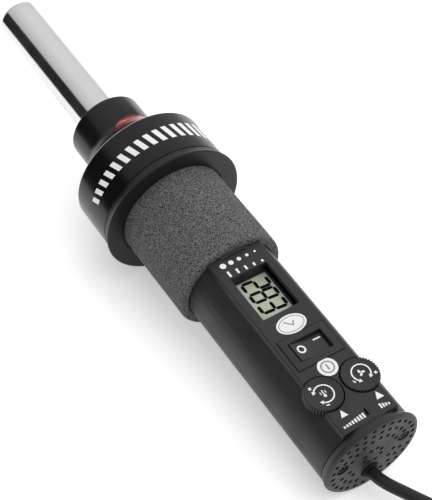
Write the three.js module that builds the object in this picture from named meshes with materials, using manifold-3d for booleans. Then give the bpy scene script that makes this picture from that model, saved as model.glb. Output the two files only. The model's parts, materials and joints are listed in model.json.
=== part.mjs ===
// A hand-held hot air gun lying on a table, in millimetres, +Z up, nozzle towards +X.
// Its own long pieces are placed by "station": the distance along the axis from the collar's front
// rim, positive towards the tail. "across" is +Y and "height" is measured from the gun's axis.
import * as THREE from 'three';
import { ConvexGeometry } from 'three/addons/geometries/ConvexGeometry.js';
import { mergeVertices } from 'three/addons/utils/BufferGeometryUtils.js';
import Module from 'manifold-3d';

const wasm = await Module();
wasm.setup();

// Driving dimensions.
const SIDES = 36; // facets round the gun's axis
const GAP = 0.3; // running and assembly clearance
const PAST = 2; // how far a cutting tool reaches past what it cuts

const BARREL = { radius: 11, wall: 0.6, tip: -122.8, root: -24 };
const NECK = { radius: 18.7, front: -32.85, end: -17.4, wall: 2.2 };
const COLLAR = { radius: 33.9, wall: 2.4, end: 24.5 };
const FLANGE = { radius: 35.4, front: 24.8, rest: 29.4, back: 29.9, bore: 22.4, recess: 27, floor: 28.4 };
const LENS = { centre: [-4.8, -4.3], radius: 13.5, back: -9, proud: 0.35, thick: 3 };
const HANDLE = { radius: 22, wall: 2, front: 21.5, end: 178.1, retainer: 25 };
const PANEL = { height: 20.75, halfWidth: 13.7, front: 78.5, thick: 2.25 };
const FOAM = { radius: 26.4, bore: 22.4, front: 28.7, end: 78.2 };
const WINDOW = { front: 90, back: 115.4, halfWidth: 9.3, depth: 5.25, wall: 1.5 };
const SWITCH = { station: 136.2, frameHalf: [8.25, 11.43], bodyHalf: [6.4, 9.5], wellHalf: [5, 8.2] };
const ROCKER = { halfLength: 4.7, pivot: 18.9, tilt: 7 };
const KNOB = { station: 158.3, across: 9.24, radius: 8.45, low: 17.9, high: 21.25, ribs: 40 };
const SHAFT = { radius: 1.5, top: 20.2 };
const CAP = { front: 178.4, rest: 182.2, back: 183.4, plate: 3, radius: 23.3, rise: 1.3 };
const CAP_SCREW = { across: 15.4, height: 3, head: 2.6, shank: 1.25, front: 168 };
const CORD = { diameter: 5.5, height: -10, reliefFront: 164.2, reliefEnd: 184.6 };
const VENT = { radius: 1.05, rings: [[20, 28], [16, 24], [11.8, 18], [4.5, 8]] };
const MOTOR = { radius: 14, front: 33, back: 71 };
const IMPELLER = { radius: 26.5, front: 6.5, back: 18, blades: 9 };

// The coil of spare cord, the tie round it and the plug, where they lie on the table.
const COIL = { centre: [-235.2, -6], inner: 19.2, outer: 45, bottom: 1, top: 12.4 };
const TIE = { width: 9, thick: 0.65 };
const PLUG = { neck: [-265.2, -275.2], front: -302.2, across: -48, width: 26, thick: 17, blade: 16 };

// The cord's route from the strain relief to the coil.
const CORD_ROUTE = [
  [-152.7, 0, 11.7],
  [-156, -0.5, 11.45],
  [-159.3, -1.7, 11],
  [-162.5, -3.5, 10.3],
  [-165.7, -5.8, 9.3],
  [-169.4, -8.6, 7.9],
  [-173.3, -11.6, 6.4],
  [-178.2, -15.3, 4.8],
  [-183.8, -19.6, 3.5],
  [-190.9, -25.1, 2.9],
];

// How the gun lies: on the flange's rim and on the end cap, with the panel up.
const REST_TILT = Math.atan2(FLANGE.radius - HANDLE.radius, CAP.rest - FLANGE.rest);
const REST_HEIGHT = FLANGE.rest * Math.sin(REST_TILT) + FLANGE.radius * Math.cos(REST_TILT);

// ---- shape helpers ----

function signedVolume(geometry) {
  const { position } = geometry.attributes;
  const index = geometry.index.array;
  const [a, b, c] = [new THREE.Vector3(), new THREE.Vector3(), new THREE.Vector3()];
  let total = 0;
  for (let i = 0; i < index.length; i += 3) {
    a.fromBufferAttribute(position, index[i]);
    b.fromBufferAttribute(position, index[i + 1]);
    c.fromBufferAttribute(position, index[i + 2]);
    total += a.dot(b.cross(c)) / 6;
  }
  return total;
}

// Merges shared vertices, drops triangles that a lathe collapses on its axis, and faces the skin out.
function closed(geometry) {
  const bare = geometry.clone();
  bare.deleteAttribute('normal');
  bare.deleteAttribute('uv');
  const merged = mergeVertices(bare, 1e-4);
  const corners = merged.index.array;
  const kept = [];
  for (let i = 0; i < corners.length; i += 3) {
    const [a, b, c] = [corners[i], corners[i + 1], corners[i + 2]];
    if (a !== b && b !== c && c !== a) kept.push(a, b, c);
  }
  merged.setIndex(kept);
  if (signedVolume(merged) < 0) merged.setIndex(kept.reverse());
  return merged;
}

function solid(geometry) {
  const mesh = { numProp: 3, vertProperties: Float32Array.from(geometry.attributes.position.array) };
  mesh.triVerts = Uint32Array.from(geometry.index.array);
  return new wasm.Manifold(new wasm.Mesh(mesh));
}

function surface(manifold) {
  const mesh = manifold.getMesh();
  const geometry = new THREE.BufferGeometry();
  geometry.setAttribute('position', new THREE.BufferAttribute(mesh.vertProperties, 3));
  geometry.setIndex(new THREE.BufferAttribute(mesh.triVerts, 1));
  return geometry;
}

const combine = (pieces, step) => surface(pieces.map(solid).reduce(step));
const join = (...pieces) => combine(pieces, (a, b) => a.add(b));
const cut = (base, ...tools) => combine([base, ...tools], (a, b) => a.subtract(b));
const overlap = (...pieces) => combine(pieces, (a, b) => a.intersect(b));

// The convex skin stretched round several pieces.
function wrap(...pieces) {
  const points = [];
  for (const { attributes } of pieces) {
    for (let i = 0; i < attributes.position.count; i += 1) {
      points.push(new THREE.Vector3().fromBufferAttribute(attributes.position, i));
    }
  }
  return closed(new ConvexGeometry(points));
}

// A solid of revolution about the gun's axis, from [station, radius] pairs.
function turned(profile, sides = SIDES) {
  const outline = profile.map(([station, radius]) => new THREE.Vector2(radius, -station));
  return closed(new THREE.LatheGeometry(outline, sides).rotateZ(-Math.PI / 2));
}

function ring(front, back, inner, outer, sides = SIDES) {
  return turned([[front, inner], [front, outer], [back, outer], [back, inner], [front, inner]], sides);
}

// A cylinder along the gun's axis, centred at [across, height].
function rod(front, back, radius, [across, height] = [0, 0], sides = 16) {
  const profile = [[front, 0], [front, radius], [back, radius], [back, 0]];
  return turned(profile, sides).translate(0, across, height);
}

// A cylinder that stands on the panel's normal.
function post(station, across, low, high, radius, sides = 24) {
  const geometry = new THREE.CylinderGeometry(radius, radius, high - low, sides).rotateX(Math.PI / 2);
  return closed(geometry.translate(-station, across, (low + high) / 2));
}

function block([front, back], [left, right], [low, high]) {
  const geometry = new THREE.BoxGeometry(back - front, right - left, high - low);
  return closed(geometry.translate(-(front + back) / 2, (left + right) / 2, (low + high) / 2));
}

// A block centred on [station, across].
function pad([station, across], [halfLength, halfWidth], heights) {
  const stations = [station - halfLength, station + halfLength];
  return block(stations, [across - halfWidth, across + halfWidth], heights);
}

// An [across, height] outline carried along the axis.
function prism(outline, front, back) {
  const shape = new THREE.Shape(outline.map(([across, height]) => new THREE.Vector2(across, height)));
  const geometry = new THREE.ExtrudeGeometry(shape, { depth: back - front, bevelEnabled: false });
  const turn = new THREE.Matrix4().makeBasis(
    new THREE.Vector3(0, 1, 0),
    new THREE.Vector3(0, 0, 1),
    new THREE.Vector3(1, 0, 0),
  );
  return closed(geometry.applyMatrix4(turn).translate(-back, 0, 0));
}

// A [toward nozzle, across] outline raised along the panel's normal.
function slab(outline, low, high) {
  const shape = new THREE.Shape(outline.map(([x, y]) => new THREE.Vector2(x, y)));
  const geometry = new THREE.ExtrudeGeometry(shape, { depth: high - low, bevelEnabled: false });
  return closed(geometry.translate(0, 0, low));
}

// A round wire or cord along a smooth curve through points.
function tube(points, radius, sides, steps) {
  const path = new THREE.CatmullRomCurve3(points.map((p) => new THREE.Vector3(...p)));
  const section = new THREE.Shape();
  for (let i = 0; i <= sides; i += 1) {
    const angle = (2 * Math.PI * (i % sides)) / sides;
    const at = [radius * Math.cos(angle), radius * Math.sin(angle)];
    if (i === 0) section.moveTo(...at);
    else section.lineTo(...at);
  }
  return closed(new THREE.ExtrudeGeometry(section, { steps, extrudePath: path, bevelEnabled: false }));
}

// A point at a distance from the axis, with the angle in degrees from straight up.
function around(station, radius, degrees) {
  const angle = THREE.MathUtils.degToRad(degrees);
  return [-station, radius * Math.sin(angle), radius * Math.cos(angle)];
}

// ---- hot end ----

function nozzleTube() {
  const { radius, wall, tip, root } = BARREL;
  const inner = radius - wall;
  return turned([
    [tip, inner],
    [tip, radius - 0.2],
    [tip + 0.2, radius],
    [root, radius],
    [root, inner],
    [tip, inner],
  ]);
}

function heaterFormer() {
  const fins = 6;
  const outline = [];
  for (let i = 0; i < fins; i += 1) {
    const angle = (2 * Math.PI * i) / fins;
    const next = angle + Math.PI / fins;
    const [c, s] = [Math.cos(angle), Math.sin(angle)];
    outline.push([7.2 * c + 0.7 * s, 7.2 * s - 0.7 * c], [7.2 * c - 0.7 * s, 7.2 * s + 0.7 * c]);
    outline.push([2.7 * Math.cos(next), 2.7 * Math.sin(next)]);
  }
  return cut(prism(outline, -102, -16.1), rod(-102 - PAST, -16.1 + PAST, 1.3));
}

function heaterCoil() {
  const turns = 9;
  const perTurn = 9;
  const points = [];
  for (let i = 0; i <= turns * perTurn; i += 1) {
    const share = i / (turns * perTurn);
    points.push(around(-98 + 72 * share, 8.4, 360 * turns * share));
  }
  return tube(points, 0.45, 4, turns * perTurn);
}

function heaterBase() {
  const holes = [];
  for (let i = 0; i < 6; i += 1) {
    const [, across, height] = around(0, 7.5, 22.5 + 60 * i);
    holes.push(rod(-15.7 - PAST, -14.2 + PAST, 2.4, [across, height], 8));
  }
  return cut(ring(-15.7, -14.2, 1.15, 12.5, 24), ...holes);
}

// ---- collar ----

// The housing's flare from the neck to the collar's rim, as [station, radius] pairs.
function flare([start, from], [end, to], steps = 6) {
  const pairs = [];
  for (let i = 0; i <= steps; i += 1) {
    const share = i / steps;
    pairs.push([start + (end - start) * share, from + (to - from) * share ** 1.8]);
  }
  return pairs;
}

const OUTER_FLARE = flare([NECK.end, NECK.radius], [-0.3, COLLAR.radius - 0.3]);
const INNER_FLARE = flare([NECK.end + 1.4, NECK.radius - NECK.wall], [2.5, COLLAR.radius - COLLAR.wall], 4);

function lensBlank(margin, below, above) {
  const skin = [[NECK.end - 3, NECK.radius], ...OUTER_FLARE];
  const shell = [
    ...skin.map(([station, radius]) => [station, radius + above]),
    ...skin.map(([station, radius]) => [station, radius - below]).reverse(),
  ];
  const [station, across] = LENS.centre;
  const reach = LENS.radius + margin;
  const disc = post(station, across, BARREL.radius, FLANGE.radius, reach, 40);
  const ahead = block([station - 2 * reach, LENS.back + margin], [-40, 40], [0, 40]);
  return overlap(turned([...shell, shell[0]]), disc, ahead);
}

function frontHousing() {
  const plateBack = NECK.front + NECK.wall;
  const bore = BARREL.radius + 0.35;
  const shell = turned([
    [NECK.front, bore],
    [NECK.front, NECK.radius - 0.7],
    [NECK.front + 0.7, NECK.radius],
    ...OUTER_FLARE,
    [0, COLLAR.radius],
    [COLLAR.end, COLLAR.radius],
    [COLLAR.end, COLLAR.radius - COLLAR.wall],
    ...INNER_FLARE.toReversed(),
    [plateBack, NECK.radius - NECK.wall],
    [plateBack, bore],
    [NECK.front, bore],
  ]);
  return cut(shell, lensBlank(GAP, 6, 3));
}

function backPlate() {
  const lip = COLLAR.radius - COLLAR.wall - GAP;
  return turned([
    [20.6, lip - 0.8],
    [20.6, lip],
    [FLANGE.front, lip],
    [FLANGE.front, COLLAR.radius],
    [26.6, COLLAR.radius + 0.15],
    [28.3, COLLAR.radius + 0.7],
    [FLANGE.rest, FLANGE.radius],
    [FLANGE.back, FLANGE.radius - 0.4],
    [FLANGE.back, FLANGE.recess],
    [FLANGE.floor, FLANGE.recess],
    [FLANGE.floor, FLANGE.bore],
    [FLANGE.front, FLANGE.bore],
    [FLANGE.front, lip - 0.8],
    [20.6, lip - 0.8],
  ]);
}

// ---- blower ----

function impellerBlade(angle) {
  const steps = 3;
  const [inner, outer, sweep, half] = [10, IMPELLER.radius, 0.7, 0.6];
  const side = (sign) => {
    const points = [];
    for (let i = 0; i <= steps; i += 1) {
      const radius = inner + ((outer - inner) * i) / steps;
      const turn = angle - (sweep * i) / steps + (sign * half) / radius;
      points.push([radius * Math.cos(turn), radius * Math.sin(turn)]);
    }
    return points;
  };
  return prism([...side(-1), ...side(1).reverse()], IMPELLER.front, IMPELLER.back - 0.5);
}

function impeller() {
  const { radius, back, blades } = IMPELLER;
  const bore = 1.45;
  const disc = turned([
    [8, bore],
    [8, 5],
    [14, 6.5],
    [back - 1.8, 10],
    [back - 1.4, radius],
    [back, radius],
    [back, bore],
    [8, bore],
  ]);
  const fan = Array.from({ length: blades }, (_, i) => impellerBlade((2 * Math.PI * i) / blades));
  return join(disc, ...fan);
}

function motor() {
  const { radius, front, back } = MOTOR;
  return turned([
    [46, 0],
    [46, 1.5],
    [front - 2.4, 1.5],
    [front - 2.4, 3.2],
    [front, 3.2],
    [front, radius - 0.8],
    [front + 0.8, radius],
    [back - 0.8, radius],
    [back, radius - 0.8],
    [back, 5],
    [back + 2, 5],
    [back + 2, 0],
  ], 24);
}

function motorMount() {
  const [front, back] = [29.8, 32.7];
  const holes = [];
  for (let i = 0; i < 8; i += 1) {
    const [, across, height] = around(0, 16.7, 22.5 + 45 * i);
    holes.push(rod(front - PAST, back + PAST, 2.1, [across, height], 8));
  }
  return cut(ring(front, back, 3.6, HANDLE.radius - HANDLE.wall - 0.4), ...holes);
}

// ---- handle ----

// The handle's section: round, with the raised flat-topped panel on it.
function panelOutline(radius, top, halfWidth, chamfer) {
  const steps = 40;
  const shoulder = Math.acos(halfWidth / radius);
  const outline = [];
  for (let i = 0; i <= steps; i += 1) {
    const angle = Math.PI - shoulder + ((Math.PI + 2 * shoulder) * i) / steps;
    outline.push([radius * Math.cos(angle), radius * Math.sin(angle)]);
  }
  outline.push([halfWidth, top - chamfer], [halfWidth - chamfer, top]);
  outline.push([chamfer - halfWidth, top], [-halfWidth, top - chamfer]);
  return outline;
}

// The inside of the handle under the panel: round, with a flat ceiling.
function flatRoofOutline(radius, roof) {
  const steps = 40;
  const start = Math.PI - Math.asin(roof / radius);
  const sweep = 2 * Math.PI - 2 * Math.acos(roof / radius);
  const outline = [];
  for (let i = 0; i <= steps; i += 1) {
    const angle = start + (sweep * i) / steps;
    outline.push([radius * Math.cos(angle), radius * Math.sin(angle)]);
  }
  return outline;
}

function handleBody() {
  const { radius, wall, front, end, retainer } = HANDLE;
  const inner = radius - wall;
  const roof = PANEL.height - PANEL.thick;
  const outside = join(
    rod(front, PANEL.front + PAST, radius, [0, 0], SIDES),
    rod(front, FLANGE.front - GAP, retainer, [0, 0], SIDES),
    prism(panelOutline(radius, PANEL.height, PANEL.halfWidth, 0.6), PANEL.front, end),
  );
  const hollow = cut(
    outside,
    rod(front - PAST, PANEL.front, inner, [0, 0], SIDES),
    prism(flatRoofOutline(inner, roof), PANEL.front - PAST, end + PAST),
  );
  const windowWall = WINDOW.halfWidth + WINDOW.wall;
  const deckStations = [KNOB.station - 10.2, KNOB.station + 10.2];
  const inserts = [
    block(
      [WINDOW.front - WINDOW.wall, WINDOW.back + WINDOW.wall],
      [-windowWall, windowWall],
      [PANEL.height - WINDOW.depth, roof + 0.5],
    ),
    block(deckStations, [-12.9, 12.9], [15.3, roof + 0.5]),
    block([166, end], [-20.4, 3 - CAP_SCREW.across], [0, 6.2]),
    block([166, end], [CAP_SCREW.across - 3, 20.4], [0, 6.2]),
  ];
  return join(hollow, ...inserts);
}

function upperShell() {
  const { station, frameHalf, bodyHalf } = SWITCH;
  const grow = ([length, width], by) => [length + by, width + by];
  const tools = [
    block([0, 200], [-40, 40], [-40, GAP / 2]),
    block(
      [WINDOW.front, WINDOW.back],
      [-WINDOW.halfWidth, WINDOW.halfWidth],
      [PANEL.height - WINDOW.depth - PAST, PANEL.height + PAST],
    ),
    pad([station, 0], grow(bodyHalf, GAP), [10, PANEL.height + PAST]),
    pad([station, 0], grow(frameHalf, 0.25), [PANEL.height - 1, PANEL.height + PAST]),
    block([172.2, 175.6], [-1.2, -0.2], [PANEL.height - 4, PANEL.height + PAST]),
  ];
  for (const side of [-1, 1]) {
    const across = side * KNOB.across;
    tools.push(post(KNOB.station, across, KNOB.low - 0.4, PANEL.height + PAST, KNOB.radius + 0.5, 40));
    tools.push(post(KNOB.station, across, 10, PANEL.height, SHAFT.radius + 0.6, 16));
    tools.push(rod(164, 180, 1.6, [side * CAP_SCREW.across, CAP_SCREW.height], 12));
  }
  return cut(handleBody(), ...tools);
}

function lowerShell() {
  return cut(handleBody(), block([0, 200], [-40, 40], [-GAP / 2, 40]));
}

function foamGrip() {
  const { radius, bore, front, end } = FOAM;
  return turned([
    [front, bore],
    [front, radius - 0.4],
    [front + 0.4, radius],
    [end - 3.7, radius],
    [end - 1.6, radius - 0.6],
    [end - 0.4, radius - 1.9],
    [end, radius - 3],
    [end, bore],
    [front, bore],
  ]);
}

// ---- switch and knobs ----

function switchBody() {
  const { station, frameHalf, bodyHalf, wellHalf } = SWITCH;
  return cut(
    join(
      pad([station, 0], bodyHalf, [4.2, 20.5]),
      pad([station, 0], frameHalf, [PANEL.height - 0.7, PANEL.height + 0.65]),
    ),
    pad([station, 0], wellHalf, [14.4, PANEL.height + PAST]),
  );
}

// The paddle rests in its "on" position, with the end marked by a bar pressed in.
function switchRocker() {
  const flat = [[7.85, 1.6], [0, 1.05], [-7.85, 1.6], [-7.7, -0.2], [-3, -2.6], [3, -2.6], [7.7, -0.2]];
  const tilt = THREE.MathUtils.degToRad(ROCKER.tilt);
  const outline = flat.map(([across, height]) => [
    across * Math.cos(tilt) - height * Math.sin(tilt),
    ROCKER.pivot + across * Math.sin(tilt) + height * Math.cos(tilt),
  ]);
  return prism(outline, SWITCH.station - ROCKER.halfLength, SWITCH.station + ROCKER.halfLength);
}

function ribbedOutline({ station, radius, ribs }, across) {
  const outline = [];
  for (let i = 0; i < ribs * 2; i += 1) {
    const angle = (Math.PI * i) / ribs;
    const reach = i % 2 ? radius - 0.35 : radius;
    outline.push([reach * Math.cos(angle) - station, reach * Math.sin(angle) + across]);
  }
  return outline;
}

function thumbwheel(across) {
  const socket = post(KNOB.station, across, KNOB.low - PAST, SHAFT.top + GAP, SHAFT.radius + GAP, 16);
  return cut(slab(ribbedOutline(KNOB, across), KNOB.low, KNOB.high), socket);
}

// ---- electronics ----

function heatSink() {
  const fins = [-5.8, -3.2, -0.6].map((low) => block([110, 124], [11.2, 14], [low, low + 1]));
  return join(block([110, 124], [9.6, 11.4], [-6, 8.9]), ...fins);
}

// ---- tail ----

// The end cap starts as round as the handle and swells upward to its rear rim.
function capBlank(inset) {
  const band = 0.1;
  const rear = [0, CAP.rise];
  return wrap(
    rod(CAP.front, CAP.front + band, HANDLE.radius - inset, [0, 0], 48),
    rod(CAP.rest - band, CAP.rest, CAP.radius - inset, rear, 48),
    rod(CAP.back - band, CAP.back, CAP.radius - 1.1 - inset, rear, 48),
  );
}

function ventHoles() {
  const holes = [];
  for (const [radius, count] of VENT.rings) {
    for (let i = 0; i < count; i += 1) {
      const [, across, ringHeight] = around(0, radius, (360 * (i + 0.5)) / count);
      const height = ringHeight + CAP.rise;
      const toScrew = Math.hypot(Math.abs(across) - CAP_SCREW.across, height - CAP_SCREW.height);
      const toCord = Math.hypot(across, height - CORD.height);
      if (toScrew > 4.4 && toCord > 6.2) {
        const start = CAP.back - CAP.plate - 0.1;
        holes.push(rod(start, CAP.back + PAST, VENT.radius, [across, height], 6));
      }
    }
  }
  return holes;
}

function tailCap() {
  const tools = [
    overlap(capBlank(2.2), block([CAP.front - PAST, CAP.back - CAP.plate], [-40, 40], [-40, 40])),
    rod(CAP.front, CAP.back + PAST, 4.4, [0, CORD.height], 24),
    ...ventHoles(),
  ];
  for (const side of [-1, 1]) {
    const at = [side * CAP_SCREW.across, CAP_SCREW.height];
    tools.push(rod(CAP.front, CAP.back + PAST, 1.6, at, 12));
    tools.push(rod(CAP.back - 1.6, CAP.back + PAST, CAP_SCREW.head + GAP, at, 16));
  }
  return cut(capBlank(0), ...tools);
}

function tailScrew(side) {
  const { across, height, head, shank, front } = CAP_SCREW;
  const under = CAP.back - 1.3;
  const profile = [[front, 0], [front, shank], [under, shank], [under, head]];
  profile.push([CAP.back - 0.4, head], [CAP.back - 0.2, head - 0.4], [CAP.back - 0.2, 0]);
  return turned(profile, 12).translate(0, side * across, height);
}

function strainRelief() {
  return turned([
    [CORD.reliefFront, 0],
    [CORD.reliefFront, 3.2],
    [178, 3.7],
    [178, 6.2],
    [180.1, 6.2],
    [180.1, 4.05],
    [183.4, 4.05],
    [184.2, 3.8],
    [CORD.reliefEnd, 3.4],
    [CORD.reliefEnd, 0],
  ], 16).translate(0, 0, CORD.height);
}

// ---- cord, coil, tie and plug, in the table's frame ----

function cordCoil() {
  const { centre, inner, outer, bottom, top } = COIL;
  const outline = [[inner, bottom], [outer, bottom], [outer, top], [inner, top], [inner, bottom]];
  const geometry = new THREE.LatheGeometry(outline.map((p) => new THREE.Vector2(...p)), 40);
  return closed(geometry.rotateX(Math.PI / 2).translate(centre[0], centre[1], 0));
}

function cordTie() {
  const { centre, inner, outer, bottom, top } = COIL;
  const flatInner = Math.sqrt(inner ** 2 - (TIE.width / 2) ** 2) - 0.1;
  const band = (clearance, halfWidth) => {
    const [near, far] = [flatInner - clearance, outer + clearance];
    const low = bottom - clearance;
    const geometry = new THREE.BoxGeometry(2 * halfWidth, far - near, top + clearance - low);
    const middle = [centre[0], centre[1] + (near + far) / 2, (top + clearance + low) / 2];
    return closed(geometry.translate(...middle));
  };
  return cut(band(GAP + TIE.thick, TIE.width / 2), band(GAP, TIE.width));
}

function plugBody() {
  const { neck, front, across, width, thick } = PLUG;
  const [w, h, corner] = [width / 2, thick / 2, 2.5];
  const section = [[w, corner - h], [w, h - corner], [w - corner, h], [corner - w, h]];
  section.push([-w, h - corner], [-w, corner - h], [corner - w, -h], [w - corner, -h]);
  const grip = prism(section, 0, neck[1] - front);
  const profile = [[1, 0], [1, 5.2], [0, 5.2], [neck[1] - neck[0], 3.6], [neck[1] - neck[0], 0]];
  const sleeve = turned(profile, 20);
  const centre = thick / 2 + 0.1;
  return join(
    grip.translate(neck[1], across, centre),
    sleeve.translate(neck[1], across, centre),
  );
}

function plugBlade(side) {
  const { front, across, thick, blade } = PLUG;
  const centre = thick / 2 + 0.1;
  const at = across + side * 6.35;
  return block([GAP - front, GAP - front + blade], [at - 0.75, at + 0.75], [centre - 3.15, centre + 3.15]);
}

// ---- assembly ----

function finish(color, roughness, metalness = 0) {
  return () => new THREE.MeshStandardMaterial({ color, roughness, metalness });
}

const STEEL = finish(0xc9cbcc, 0.18, 1);
const ZINC = finish(0x9a9ca0, 0.4, 1);
const GLOSS_BLACK = finish(0x0e0e10, 0.22);
const HANDLE_PLASTIC = finish(0x2b2b2d, 0.5);
const DARK_PLASTIC = finish(0x18181a, 0.4);
const FOAM_RUBBER = finish(0x3d3d3f, 0.95);
const SOFT_BLACK = finish(0x121213, 0.6);
const CERAMIC = finish(0xd8cfbd, 0.8);
const MICA = finish(0xb49a6a, 0.5);
const ALLOY_WIRE = finish(0x6f6a66, 0.45, 1);
const RED_PLASTIC = finish(0x8c0f14, 0.15);
const BOARD_GREEN = finish(0x1c5a34, 0.45);
const LCD_GREEN = finish(0xb3bd98, 0.3);
const WHITE_PLASTIC = finish(0xdddcd6, 0.5);
const BRASS = finish(0xb59a55, 0.3, 1);
const ALUMINIUM = finish(0xa8abad, 0.4, 1);

const gun = new THREE.Group();
const cordSet = new THREE.Group();
const heatGun = new THREE.Group();
heatGun.add(gun, cordSet);

function add(group, name, geometry, material) {
  const mesh = new THREE.Mesh(geometry, material());
  mesh.name = name;
  group.add(mesh);
}

// Hot end
add(gun, 'nozzle_tube', nozzleTube(), STEEL);
add(gun, 'nozzle_clamp_ring', ring(-30.3, -28.5, BARREL.radius + GAP, 16.1), ZINC);
add(gun, 'mica_sleeve', ring(-104, -26, 9.8, 10.1, 24), MICA);
add(gun, 'heater_former', heaterFormer(), CERAMIC);
add(gun, 'heater_coil', heaterCoil(), ALLOY_WIRE);
add(gun, 'heater_base_disc', heaterBase(), CERAMIC);
add(gun, 'thermocouple_probe', rod(-114, -6, 0.75, [0, 0], 8), STEEL);

// Collar
add(gun, 'front_housing', frontHousing(), GLOSS_BLACK);
add(gun, 'collar_back_plate', backPlate(), GLOSS_BLACK);
add(gun, 'indicator_lens', lensBlank(0, LENS.thick, LENS.proud), RED_PLASTIC);
add(gun, 'indicator_led', post(-12.4, 0, 12.9, 15.8, 1.9, 12), RED_PLASTIC);

// Blower
add(gun, 'blower_impeller', impeller(), DARK_PLASTIC);
add(gun, 'motor_shaft', rod(4.5, 45.7, 1.15, [0, 0], 12), STEEL);
add(gun, 'blower_motor', motor(), ZINC);
add(gun, 'motor_mount', motorMount(), DARK_PLASTIC);

// Handle
add(gun, 'handle_upper_shell', upperShell(), HANDLE_PLASTIC);
add(gun, 'handle_lower_shell', lowerShell(), HANDLE_PLASTIC);
add(gun, 'foam_grip', foamGrip(), FOAM_RUBBER);

// Display and control board
add(gun, 'lcd_glass', block([88.8, 118.3], [-11.2, 11.2], [13.2, 15.2]), LCD_GREEN);
add(gun, 'lcd_carrier', block([88.8, 118.3], [-11.2, 11.2], [11.1, 12.9]), WHITE_PLASTIC);
add(gun, 'control_board', block([85, 127], [-15, 15], [9.2, 10.8]), BOARD_GREEN);
add(gun, 'control_chip', block([94, 104], [1.5, 6.5], [7, 8.9]), DARK_PLASTIC);
add(gun, 'main_capacitor', rod(89, 107, 5, [-6, 3.6], 20), DARK_PLASTIC);
add(gun, 'heater_triac', block([112, 122], [4.8, 9.3], [-6, 8.9]), DARK_PLASTIC);
add(gun, 'triac_heat_sink', heatSink(), ALUMINIUM);

// Power switch
add(gun, 'switch_body', switchBody(), DARK_PLASTIC);
add(gun, 'switch_rocker', switchRocker(), DARK_PLASTIC);
for (const [side, end] of [[-1, 'live'], [1, 'load']]) {
  const terminal = pad([SWITCH.station, side * 4.7], [2.4, 0.4], [-3.4, 3.9]);
  add(gun, `switch_terminal_${end}`, terminal, BRASS);
}

// Air and heater controls
for (const [side, use] of [[-1, 'air'], [1, 'heater']]) {
  const across = side * KNOB.across;
  const spindle = post(KNOB.station, across, 13.7, SHAFT.top, SHAFT.radius, 16);
  add(gun, `${use}_knob`, thumbwheel(across), DARK_PLASTIC);
  add(gun, `${use}_knob_shaft`, spindle, WHITE_PLASTIC);
  add(gun, `${use}_potentiometer`, pad([KNOB.station, across], [4.75, 4], [8.7, 13.4]), ZINC);
}
add(gun, 'potentiometer_board', block([148, 168.5], [-14.5, 14.5], [6.8, 8.4]), BOARD_GREEN);

// Wiring inside the handle
const cordEnd = [0.6 - CORD.reliefFront, CORD.height];
add(gun, 'live_lead', tube([
  [cordEnd[0], -1.7, cordEnd[1]],
  [-156, -2, -9.8],
  [-146, -3.4, -9.6],
  [-138.6, -4.6, -8],
  [-SWITCH.station, -4.7, -3.8],
], 0.85, 5, 10), SOFT_BLACK);
add(gun, 'neutral_lead', tube([
  [cordEnd[0], 1.7, cordEnd[1]],
  [-150, 1.5, -10.6],
  [-134, -3, -11],
  [-122, -10, -7],
  [-118, -12.4, 1],
  [-117.5, -12.4, 8.9],
], 0.85, 5, 14), SOFT_BLACK);
add(gun, 'switched_lead', tube([
  [-SWITCH.station, 4.7, -3.8],
  [-135, 6, -8],
  [-130.5, 10.5, -7.5],
  [-126.2, 13, -1],
  [-125.4, 13, 8.9],
], 0.85, 5, 12), SOFT_BLACK);
for (const [side, hand] of [[-1, 'right'], [1, 'left']]) {
  const angle = side * 112.5;
  const lead = tube([
    around(-13.8, 8, angle),
    around(-9, 10.5, angle),
    around(-3, 20, angle),
    around(2, 26, angle),
    around(7, 28.6, angle),
    around(15.5, 28.6, angle),
    around(19.2, 26.9, angle),
    around(19.9, 23, angle),
    around(20.8, 18.6, angle),
    around(25, 16.8, angle),
    around(32, 16.8, angle),
    around(50, 17.1, angle),
    around(72, 17, angle),
    [-82, side * 14.6, -2],
    [-87, side * 13.6, 4],
    [-87.5, side * 13.4, 8.9],
  ], 0.75, 5, 40);
  add(gun, `heater_lead_${hand}`, lead, CERAMIC);
  const motorLead = tube([
    [-MOTOR.back - GAP, side * 8.5, 2],
    [-77, side * 8.5, 2.5],
    [-86.5, side * 8.8, 4.5],
    [-88, side * 8.8, 8.9],
  ], 0.7, 5, 8);
  add(gun, `motor_lead_${hand}`, motorLead, SOFT_BLACK);
}

// Tail
add(gun, 'tail_cap', tailCap(), HANDLE_PLASTIC);
add(gun, 'tail_screw_right', tailScrew(-1), ZINC);
add(gun, 'tail_screw_left', tailScrew(1), ZINC);
add(gun, 'strain_relief', strainRelief(), SOFT_BLACK);

// Cord and plug
const cordRadius = CORD.diameter / 2;
const coilExit = COIL.centre[0] - 22.8;
const plugHeight = PLUG.thick / 2 + 0.1;
add(cordSet, 'power_cord', tube(CORD_ROUTE, cordRadius, 10, 14), SOFT_BLACK);
add(cordSet, 'cord_coil', cordCoil(), SOFT_BLACK);
add(cordSet, 'cord_tie', cordTie(), SOFT_BLACK);
add(cordSet, 'power_cord_end', tube([
  [coilExit, PLUG.across, plugHeight + 0.3],
  [PLUG.neck[0] + GAP, PLUG.across, plugHeight],
], cordRadius, 10, 2), SOFT_BLACK);
add(cordSet, 'plug_body', plugBody(), SOFT_BLACK);
add(cordSet, 'plug_blade_right', plugBlade(-1), BRASS);
add(cordSet, 'plug_blade_left', plugBlade(1), BRASS);

// The gun lies tilted on the table, centred over the origin.
gun.rotation.y = -REST_TILT;
gun.position.z = REST_HEIGHT;
gun.updateMatrixWorld(true);
const lying = new THREE.Box3().setFromObject(gun, true);
gun.position.x = -(lying.min.x + lying.max.x) / 2;
gun.position.z -= lying.min.z;

export default heatGun;
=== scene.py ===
import json
import math

import bmesh
import bpy
from mathutils import Matrix, Vector

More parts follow.
